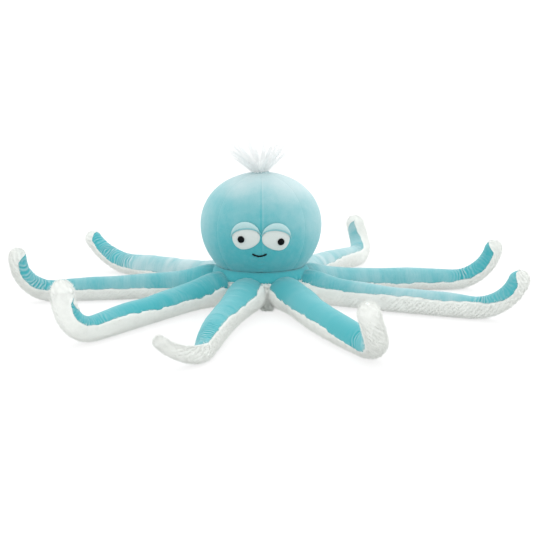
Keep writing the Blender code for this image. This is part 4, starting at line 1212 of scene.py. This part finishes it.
def eye_spot(side, along, above, slant=0.0):
    """A place near an eye: along runs out from the face's middle, above up from the widest line."""
    turn = math.radians(slant)
    out = along * math.cos(turn) - above * math.sin(turn)
    up = along * math.sin(turn) + above * math.cos(turn)
    level = HEAD_CENTRE[2] - EYE_DROP - (EYE_LEFT_DROP if side > 0 else 0)
    return side * ((EYE_GAP + EYE_WIDTH) / 2 + out), level + up


def arch(share):
    """A round arch, sqrt(1 - x^2) for x from -1 to 1, never lower than its blunt ends."""
    return np.maximum(np.sqrt(np.maximum(0, 1 - share**2)), EYE_END)


left_eye = [round(float(value) / CENTIMETRE, 2) for value in eye_spot(1, 0.0, 0.0)]
print("middle of the left eye, across and up in cm:", left_eye)

# %% [markdown]
# ## Eye whites
# The whites are ovals of felt with blunt ends, fuller below on the outer side. A flat disc with a Solidify
# modifier would have a sharp edge. Rings from the middle out and back underneath round it off in one closed
# surface.

# %% Felt whites


def eye_white(side):
    """Rings from the middle out to the drop-shaped outline and back underneath, rounded at the edge."""
    turn = np.linspace(0, 2 * np.pi, 96, endpoint=False)
    share = np.cos(turn)
    low = -EYE_DEPTH * arch(share) * (1 + EYE_FULLNESS * share * np.abs(np.sin(turn)))
    high = (LID_RIM_RISE + EYE_UNDER_LID) * arch(share)
    edge = np.where(np.sin(turn) > 0, high, low) * np.minimum(1, np.abs(np.sin(turn)) / 0.35 + 0.25)
    over = [*np.linspace(0.05, 0.85, 12), *np.linspace(0.88, 1, 8)]
    under = np.linspace(0.97, 0.05, 8)
    rings = []
    for size, top in [(size, True) for size in over] + [(size, False) for size in under]:
        across, height = eye_spot(side, EYE_WIDTH / 2 * share * size, edge * size)
        lift = FELT_THICKNESS * math.sqrt(1 - size**6) + FELT_EDGE if top else 0.0003
        rings.append(on_face(across, height, lift + 0 * across))
    return closed_tube(np.array(rings), rings[0].mean(0), rings[-1].mean(0))


# %% [markdown]
# ## Eyelids
# Each lid is a padded crescent of satin, and a teal hem is rolled along its lower edge. A cloth simulation
# could puff it up. Closed sections, flat behind and plump in front, are simpler and the same each run.

# %% Padded lids with a rolled hem


def eyelid(side):
    """Closed sections across a crescent, from its inner end to its outer one, plump in the middle."""
    share = -np.cos(np.linspace(0.04, np.pi - 0.04, 60))
    turn = np.linspace(0, 2 * np.pi, 28, endpoint=False)
    low = LID_END_RISE + (LID_RIM_RISE - LID_END_RISE) * arch(share)
    tall = (LID_TOP_RISE - LID_RIM_RISE) * arch(share) * np.minimum(1, (1 - np.abs(share)) / 0.12 + 0.15)
    above = low[:, None] + tall[:, None] * (0.5 - 0.5 * np.cos(turn))[None, :]
    along = EYE_WIDTH / 2 * LID_OVERHANG * share[:, None]
    across, height = eye_spot(side, along + 0 * above, above, LID_SLANT)
    plump = np.where(np.sin(turn) > 0, LID_THICKNESS * np.abs(np.sin(turn)) ** 0.7, 0)[None, :]
    plump = plump * (0.35 + 0.65 * arch(share))[:, None]
    rings = on_face(across, height, 0.0012 + plump)
    return closed_tube(rings, rings[0].mean(0), rings[-1].mean(0))


def along_line(line, radius, sides=12):
    """A closed tube round a line of points, whose radius may change along it."""
    ahead = unit(np.gradient(line, axis=0))
    out = unit(line - HEAD_CENTRE)
    aside = unit(np.cross(ahead, out))
    out = np.cross(aside, ahead)
    turn = np.linspace(0, 2 * np.pi, sides, endpoint=False)
    ring = out[:, None] * np.cos(turn)[None, :, None] + aside[:, None] * np.sin(turn)[None, :, None]
    rings = line[:, None] + ring * np.broadcast_to(radius, len(line))[:, None, None]
    return closed_tube(rings, line[0] - ahead[0] * radius[0], line[-1] + ahead[-1] * radius[-1])


def lid_hem(side):
    """The rolled lower edge of a lid, thinner at its ends."""
    share = -np.cos(np.linspace(0.05, np.pi - 0.05, 60))
    low = LID_END_RISE + (LID_RIM_RISE - LID_END_RISE) * arch(share)
    across, height = eye_spot(side, EYE_WIDTH / 2 * LID_OVERHANG * share, low, LID_SLANT)
    line = on_face(across, height, 0.0026 + 0 * across)
    return along_line(line, HEM_RADIUS * (0.45 + 0.55 * arch(share)))


# %% [markdown]
# ## Bead pupils and the mouth
# A pupil is a moulded bead, whose shank goes through the felt and the cover into a washer that locks it. It
# is round about its axis, so its profile is turned about that axis as on a lathe. The mouth is a line of
# thick stitches, each a tube that dips into the cloth at both ends.

# %% Beads
BEAD_RADIUS = 0.0060
BEAD_DOME = 0.0042
BEAD_RIM = 0.0010
GROOVE_IN_BEAD = 0.0003
BEAD_OUT = 0.0074
BEAD_DROP = 0.0034
BEAD_LEFT_DROP = 0.0020
SHANK_RADIUS = 0.0020
SHANK_LENGTH = 0.0110


def bead(side):
    """A profile turned about the bead's axis: shank, flat back, round rim, dome with a shallow groove."""
    across, height = eye_spot(side, BEAD_OUT, -BEAD_DROP - (BEAD_LEFT_DROP if side > 0 else 0))
    foot = on_face(np.array([across]), np.array([height]), np.zeros(1))[0]
    out = unit(foot - HEAD_CENTRE)
    aside = unit(np.cross(out, [0, 0, 1.0]))
    up = np.cross(aside, out)
    seat = FELT_THICKNESS + FELT_EDGE
    turn = np.linspace(0, np.pi / 2, 14)[:-1]
    dome_radius = BEAD_RADIUS * np.cos(turn)
    groove = GROOVE_IN_BEAD * bell(dome_radius - 0.5 * BEAD_RADIUS, 0.0006)
    dome = seat + BEAD_RIM + (BEAD_DOME - BEAD_RIM) * np.sin(turn) - groove
    radius = np.concatenate([[SHANK_RADIUS, SHANK_RADIUS, BEAD_RADIUS * 0.9, BEAD_RADIUS], dome_radius])
    reach = np.concatenate([[seat - SHANK_LENGTH, seat, seat, seat + 0.0004], dome])
    spin = np.linspace(0, 2 * np.pi, 48, endpoint=False)
    ring = aside * np.cos(spin)[:, None] + up * np.sin(spin)[:, None]
    rings = foot + out * reach[:, None, None] + ring[None] * radius[:, None, None]
    return closed_tube(rings, foot + out * reach[0], foot + out * (seat + BEAD_DOME))


# %% Mouth
MOUTH_WIDTH = 0.0240
MOUTH_DEPTH = 0.0044
MOUTH_DROP = 0.0368
MOUTH_OFFSET = -0.0025
THREAD_RADIUS = 0.00155
STITCHES = 4


def mouth():
    """Stitches of thick thread along a shallow smile, each sinking into the cloth at its ends."""
    parts = []
    count = 0
    for stitch in range(STITCHES):
        share = np.linspace(-1, 1, 12)
        place = -1 + 2 * (stitch + 0.5 + 0.48 * share) / STITCHES
        height = HEAD_CENTRE[2] - MOUTH_DROP - MOUTH_DEPTH * (1 - place**2)
        lift = 0.0010 - 0.0012 * share**6
        line = on_face(MOUTH_OFFSET + MOUTH_WIDTH / 2 * place, height, lift)
        points, faces, places = along_line(line, THREAD_RADIUS * (1 - 0.5 * share**4), 10)
        parts.append((points, [group + count for group in faces], places))
        count += len(points)
    points = np.concatenate([part[0] for part in parts])
    return points, sum([part[1] for part in parts], []), sum([part[2] for part in parts], [])


# %% Dress the face
for side, word in ((-1, "right"), (1, "left")):
    made = [
        ("eye_felt", eye_white(side), FELT, "white_felt", "eye_white"),
        ("lid", eyelid(side), SATIN, "lid_satin", "eyelid"),
        ("lid_hem", lid_hem(side), VELBOA, "teal_velboa", None),
        ("pupil_bead", bead(side), BEAD, "black_plastic", "pupil"),
    ]
    for name, shape_arrays, finish, slot, node in made:
        paleness = {"nap": np.full(len(shape_arrays[0]), LID_HEM_NAP)} if name == "lid_hem" else None
        piece = mesh_piece(f"{name}_{word}", *shape_arrays, finish, paleness)
        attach(piece, "head")
        if node:
            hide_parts(f"{node}_{word}")
        name == "lid"
    washer = frame["nodes"][f"pupil_washer_{word}"]
    washer.data.materials.clear()
    washer.data.materials.append(WASHER)
smile = mesh_piece("mouth_thread", *mouth(), THREAD)
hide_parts("mouth_stitch")
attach(smile, "head")
print("face pieces ride on the head")

# %% [markdown]
# ## The body
# The body is a low drum between the arms. A teal collar rises round the head in a thin rim, and its skirt
# slopes down to the arms' roots. That is a turned shape too: a smooth profile about the upright axis. Its
# cloth is gathered a little all round, and more at one place on each side of the front.

# %% Collar and base
NECK_RADIUS = 0.07565
COLLAR_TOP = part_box("body_top")[1][2]
COLLAR_RADIUS = 0.0800
COLLAR_PLEATS = 40
DRUM_RADIUS = 0.0640
BASE_SEAM_HEIGHT = 0.0180
BASE_RADIUS = 0.0715
SKIRT_RADIUS = 0.0880
SKIRT_HEIGHT = 0.0490
PUCKER_AZIMUTHS = (-149, -39)
PUCKER_DEPTH = 0.0009
PUCKER_WIDTH = 9
PLEAT_SHARE = 0.2
DISH_GAP = 0.0009
NOTCH_TOP = 0.0485


def turned(profile, columns, pleat_depth):
    """A profile of (radius, height) turned about Z, closed at both ends and puckered at two places."""
    spin = np.linspace(0, 2 * np.pi, columns, endpoint=False)
    radius, height = np.array(profile).T
    drift = noise(np.stack([np.cos(spin), np.sin(spin)], -1), 0.4, 19)
    pleat = np.cos(COLLAR_PLEATS * spin + 2.5 * drift)
    turn = np.degrees(spin)
    off = [(turn - place + 180) % 360 - 180 for place in PUCKER_AZIMUTHS]
    pleat = pleat * (PLEAT_SHARE + sum(bell(degrees, PUCKER_WIDTH) for degrees in off))
    out = radius[:, None] + pleat_depth[:, None] * pleat[None, :]
    rings = np.stack([out * np.cos(spin), out * np.sin(spin), height[:, None] + 0 * out], -1)
    middle = rings.mean(1)
    return closed_tube(rings, middle[0], middle[-1])


def smooth_profile(corners, count):
    """Points along a curve through the corners, each stretch a cubic in line with its neighbours' chord."""
    corners = np.array(corners)
    padded = np.concatenate([[2 * corners[0] - corners[1]], corners, [2 * corners[-1] - corners[-2]]])
    share = np.linspace(0, len(corners) - 1, count)
    index = np.minimum(share.astype(int), len(corners) - 2)
    step = (share - index)[:, None]
    before, start, end, after = (padded[index + k] for k in range(4))
    squared = (2 * before - 5 * start + 4 * end - after) * step**2
    cubed = (3 * start - before - 3 * end + after) * step**3
    return 0.5 * (2 * start + (end - before) * step + squared + cubed)


def body_cover():
    """The dish under the head, the collar's thin rim, and the skirt that slopes to the arms' roots."""
    sphere = HEAD_RADIUS + DISH_GAP
    dish_low = HEAD_CENTRE[2] - math.sqrt(sphere**2 - 0.050**2)
    corners = [
        (0.010, dish_low - 0.004),
        (0.050, dish_low - 0.0015),
        (NECK_RADIUS - 0.002, COLLAR_TOP - 0.0050),
        (NECK_RADIUS + 0.0018, COLLAR_TOP + 0.0030),
        (NECK_RADIUS + 0.0048, COLLAR_TOP + 0.0030),
        (COLLAR_RADIUS + 0.0040, COLLAR_TOP - 0.0006),
        (COLLAR_RADIUS + 0.0068, COLLAR_TOP - 0.0066),
        (SKIRT_RADIUS, SKIRT_HEIGHT),
        (SKIRT_RADIUS - 0.0014, SKIRT_HEIGHT - 0.0060),
        (SKIRT_RADIUS - 0.0060, SKIRT_HEIGHT - 0.0120),
        (DRUM_RADIUS + 0.0060, 0.030),
        (DRUM_RADIUS, 0.025),
        (BASE_RADIUS - 0.006, BASE_SEAM_HEIGHT),
    ]
    profile = smooth_profile(corners, 96)
    fade = ease(profile[:, 0], 0.070, 0.0755) * ease(COLLAR_TOP - profile[:, 1], 0.001, 0.010)
    return turned(profile, 400, PUCKER_DEPTH * fade)


# %% [markdown]
# ## The fur under the body
# Below its seam the body is the arms' fur again, flat where the toy sits. Between each two arms it rises in
# a web that closes the gap. That could be a piece of its own for each gap, but one turned shape, whose
# profile blends from cup to web and back, has no edge between them.

# %% Base fur and the webs between the arms
CUP_LOCKS = 3000
WEB_LOCKS = 700
PROFILE_POINTS = 60
WEB_MARGIN = 0.30
WEB_LEAST = 0.06
WEB_EDGE = 0.10
WEB_SPILL = 0.08
CUP_LEVELS = (14, 40)
WEB_LEVELS = (14, 50)
BODY_LEAN = 0.5
BODY_BEND = 0.25
BODY_LENGTHS = (0.6, 1.1)
BODY_WIDTHS = (0.9, 1.5)
FRONT_SHADE = 0.70
FRONT_WIDTH = 0.30
CUP = [
    (0.004, 0.0005), (0.060, 0.0005), (0.0700, 0.0030), (BASE_RADIUS, 0.010),
    (BASE_RADIUS - 0.003, BASE_SEAM_HEIGHT), (BASE_RADIUS - 0.008, BASE_SEAM_HEIGHT - 0.001), (0.020, 0.006),
]
WEB = [
    (0.004, 0.0005), (0.060, 0.0005), (0.1000, 0.0015), (0.0990, 0.0120),
    (0.0930, 0.0320), (0.0884, NOTCH_TOP - 0.0030), (0.0700, NOTCH_TOP - 0.0080),
]


def body_fur():
    """The base cup, which rises in a web between each two arms, and short locks all over it."""
    cup, web = smooth_profile(CUP, PROFILE_POINTS), smooth_profile(WEB, PROFILE_POINTS)
    spin = np.linspace(0, 2 * np.pi, 360, endpoint=False)
    azimuths = np.array([shape.azimuth for shape in SHAPES])
    gaps = (np.roll(azimuths, -1) - azimuths) % (2 * np.pi)
    between = azimuths + gaps / 2
    breadth = np.maximum(gaps / 2 - WEB_MARGIN, WEB_LEAST)

    def window(spin):
        """1 between two arms and 0 at an arm, with a smooth step at each edge."""
        off = np.abs((spin[:, None] - between + np.pi) % (2 * np.pi) - np.pi)
        return (1 - ease(off, breadth, breadth + WEB_EDGE)).max(1)

    share = window(spin)[None, :, None]
    profile = cup[:, None] * (1 - share) + web[:, None] * share
    rings = np.stack([profile[..., 0] * np.cos(spin), profile[..., 0] * np.sin(spin), profile[..., 1]], -1)
    middle = rings.mean(1)
    points, faces, places = closed_tube(rings, middle[0], middle[-1])
    places = [group * LOWER_HALF for group in places]
    rng = np.random.default_rng(19)
    cup_spin = rng.uniform(0, 2 * np.pi, CUP_LOCKS)
    spread = rng.uniform(-1, 1, (len(between), WEB_LOCKS))
    web_spin = (between[:, None] + (breadth[:, None] + WEB_SPILL) * spread).ravel()
    level = np.append(rng.uniform(*CUP_LEVELS, CUP_LOCKS), rng.uniform(*WEB_LEVELS, len(web_spin)))
    spin = np.append(cup_spin, web_spin)
    count = len(spin)
    share = window(spin)
    row = np.arange(PROFILE_POINTS)
    low, high = [[np.interp(level, row, line[:, k]) for k in range(2)] for line in (cup, web)]
    radius, height = [low[k] * (1 - share) + high[k] * share for k in range(2)]
    outward = np.stack([np.cos(spin), np.sin(spin), 0 * spin], -1)
    roots = outward * radius[:, None] + np.stack([0 * spin, 0 * spin, height], -1)
    way = unit(outward + BODY_LEAN * rng.normal(size=(count, 3)))
    bend = BODY_BEND * rng.normal(size=(count, 3))
    lengths = LOCK_LENGTH * rng.uniform(*BODY_LENGTHS, count)
    widths = LOCK_WIDTH * rng.uniform(*BODY_WIDTHS, count)
    more, more_faces, more_places, tips = locks(roots, way, bend, lengths, widths, rng, len(points))
    more[:, 2] = np.maximum(more[:, 2], LOWEST)
    points = np.concatenate([points, more])
    # Painted shade: the backing and each lock's root take a darker share of the fur colour than its tip.
    backing = np.full(len(points) - len(tips), BACKING_LIGHT)
    tip = np.concatenate([backing, TIP_LIGHT + (1 - TIP_LIGHT) * tips])
    # Painted shade: the web's foot between the two front arms is painted darker, where the gap under them
    # lies in shadow.
    from_front = np.arctan2(points[:, 0], -points[:, 1])
    tip = tip * (1 - FRONT_SHADE * bell(from_front, FRONT_WIDTH) * (1 - ease(points[:, 2], 0.006, 0.034)))
    return points, faces + more_faces, places + more_places, tip


cover = mesh_piece("body_cover", *body_cover(), VELBOA)
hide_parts("body_top", "body_stuffing")
points, faces, places, tip = body_fur()
base = mesh_piece("body_fur", points, faces, places, FUR, {"tip": tip})
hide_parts("body_base")
for piece in (cover, base):
    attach(piece, "body")
print("body", len(cover.data.polygons) + len(base.data.polygons), "faces")

# %% [markdown]
# ## Floor, light and camera
# A pale floor and a white surround give the soft, nearly shadowless light of a product picture. The largest
# lamp hangs overhead and makes the tops of the head and arms paler than their sides. A weak one in front
# fills the face's shadows, and one at each side lights the edges. The camera stands where the photo's stood,
# as worked out from the size of the beads and the line of the arms on the floor.

# %% Stage and light
FLOOR_SIZE = 14.0
FLOOR_GLOW = 0.61
SURROUND_STRENGTH = 1.1
LIT_POINT = (0, 0, 0.1)

floor_mesh = bpy.data.meshes.new("floor")
half = FLOOR_SIZE / 2
corners = [(-half, -half, 0), (half, -half, 0), (half, half, 0), (-half, half, 0)]
floor_mesh.from_pydata(corners, [], [(0, 1, 2, 3)])
floor = bpy.data.objects.new("floor", floor_mesh)
bpy.context.scene.collection.objects.link(floor)
paper = Finish("floor_paper", 0.9)
paper.shader.inputs["Emission Color"].default_value = (1, 1, 1, 1)
paper.shader.inputs["Emission Strength"].default_value = FLOOR_GLOW
paper.drive("Base Color", paper.between(paper.speckle(0.4), (0.35, 0.35, 0.35), (0.36, 0.36, 0.36)))
floor_mesh.materials.append(paper.material)

world = bpy.data.worlds.new("studio")
world.use_nodes = True
surround = world.node_tree.nodes["Background"]
surround.inputs["Color"].default_value = (1, 1, 1, 1)
surround.inputs["Strength"].default_value = SURROUND_STRENGTH
bpy.context.scene.world = world


def softbox(name, place, size, power):
    """A square lamp at a place, turned to face the lit point."""
    data = bpy.data.lights.new(name, "AREA")
    data.size = size
    data.energy = power
    lamp = bpy.data.objects.new(name, data)
    bpy.context.scene.collection.objects.link(lamp)
    back = np.array(place) - np.array(LIT_POINT)
    lamp.location = place
    tilt = math.atan2(math.hypot(back[0], back[1]), back[2])
    lamp.rotation_euler = (tilt, 0, math.atan2(back[0], -back[1]))


softbox("top_softbox", (0.1, 0.8, 2.0), 2.4, 14.5)
softbox("front_fill", (0.0, -2.3, 0.5), 1.8, 4)
softbox("left_rim", (-1.9, 0.3, 0.9), 1.4, 5)
softbox("right_rim", (1.9, 0.2, 1.0), 1.4, 8)
print("lamps:", sorted(light.name for light in bpy.data.lights))

# %% Camera at the picture's angle
CAMERA_PLACE = (0.0, -1.8173, 0.4199)
CAMERA_PITCH = 11.229
CAMERA_LENS = 69.59
SENSOR_WIDTH = 36
SHIFT_PIXELS = 5.5
PICTURE_PIXELS = 533

camera_data = bpy.data.cameras.new("camera")
camera_data.lens = CAMERA_LENS
camera_data.sensor_width = SENSOR_WIDTH
camera_data.shift_x = SHIFT_PIXELS / PICTURE_PIXELS
camera = bpy.data.objects.new("camera", camera_data)
camera.location = CAMERA_PLACE
camera.rotation_euler = (math.radians(90 - CAMERA_PITCH), 0, 0)
bpy.context.scene.collection.objects.link(camera)
bpy.context.scene.camera = camera
bpy.context.scene.view_settings.view_transform = "Standard"
print("camera in cm:", [round(value / CENTIMETRE, 1) for value in CAMERA_PLACE], "lens in mm:", CAMERA_LENS)
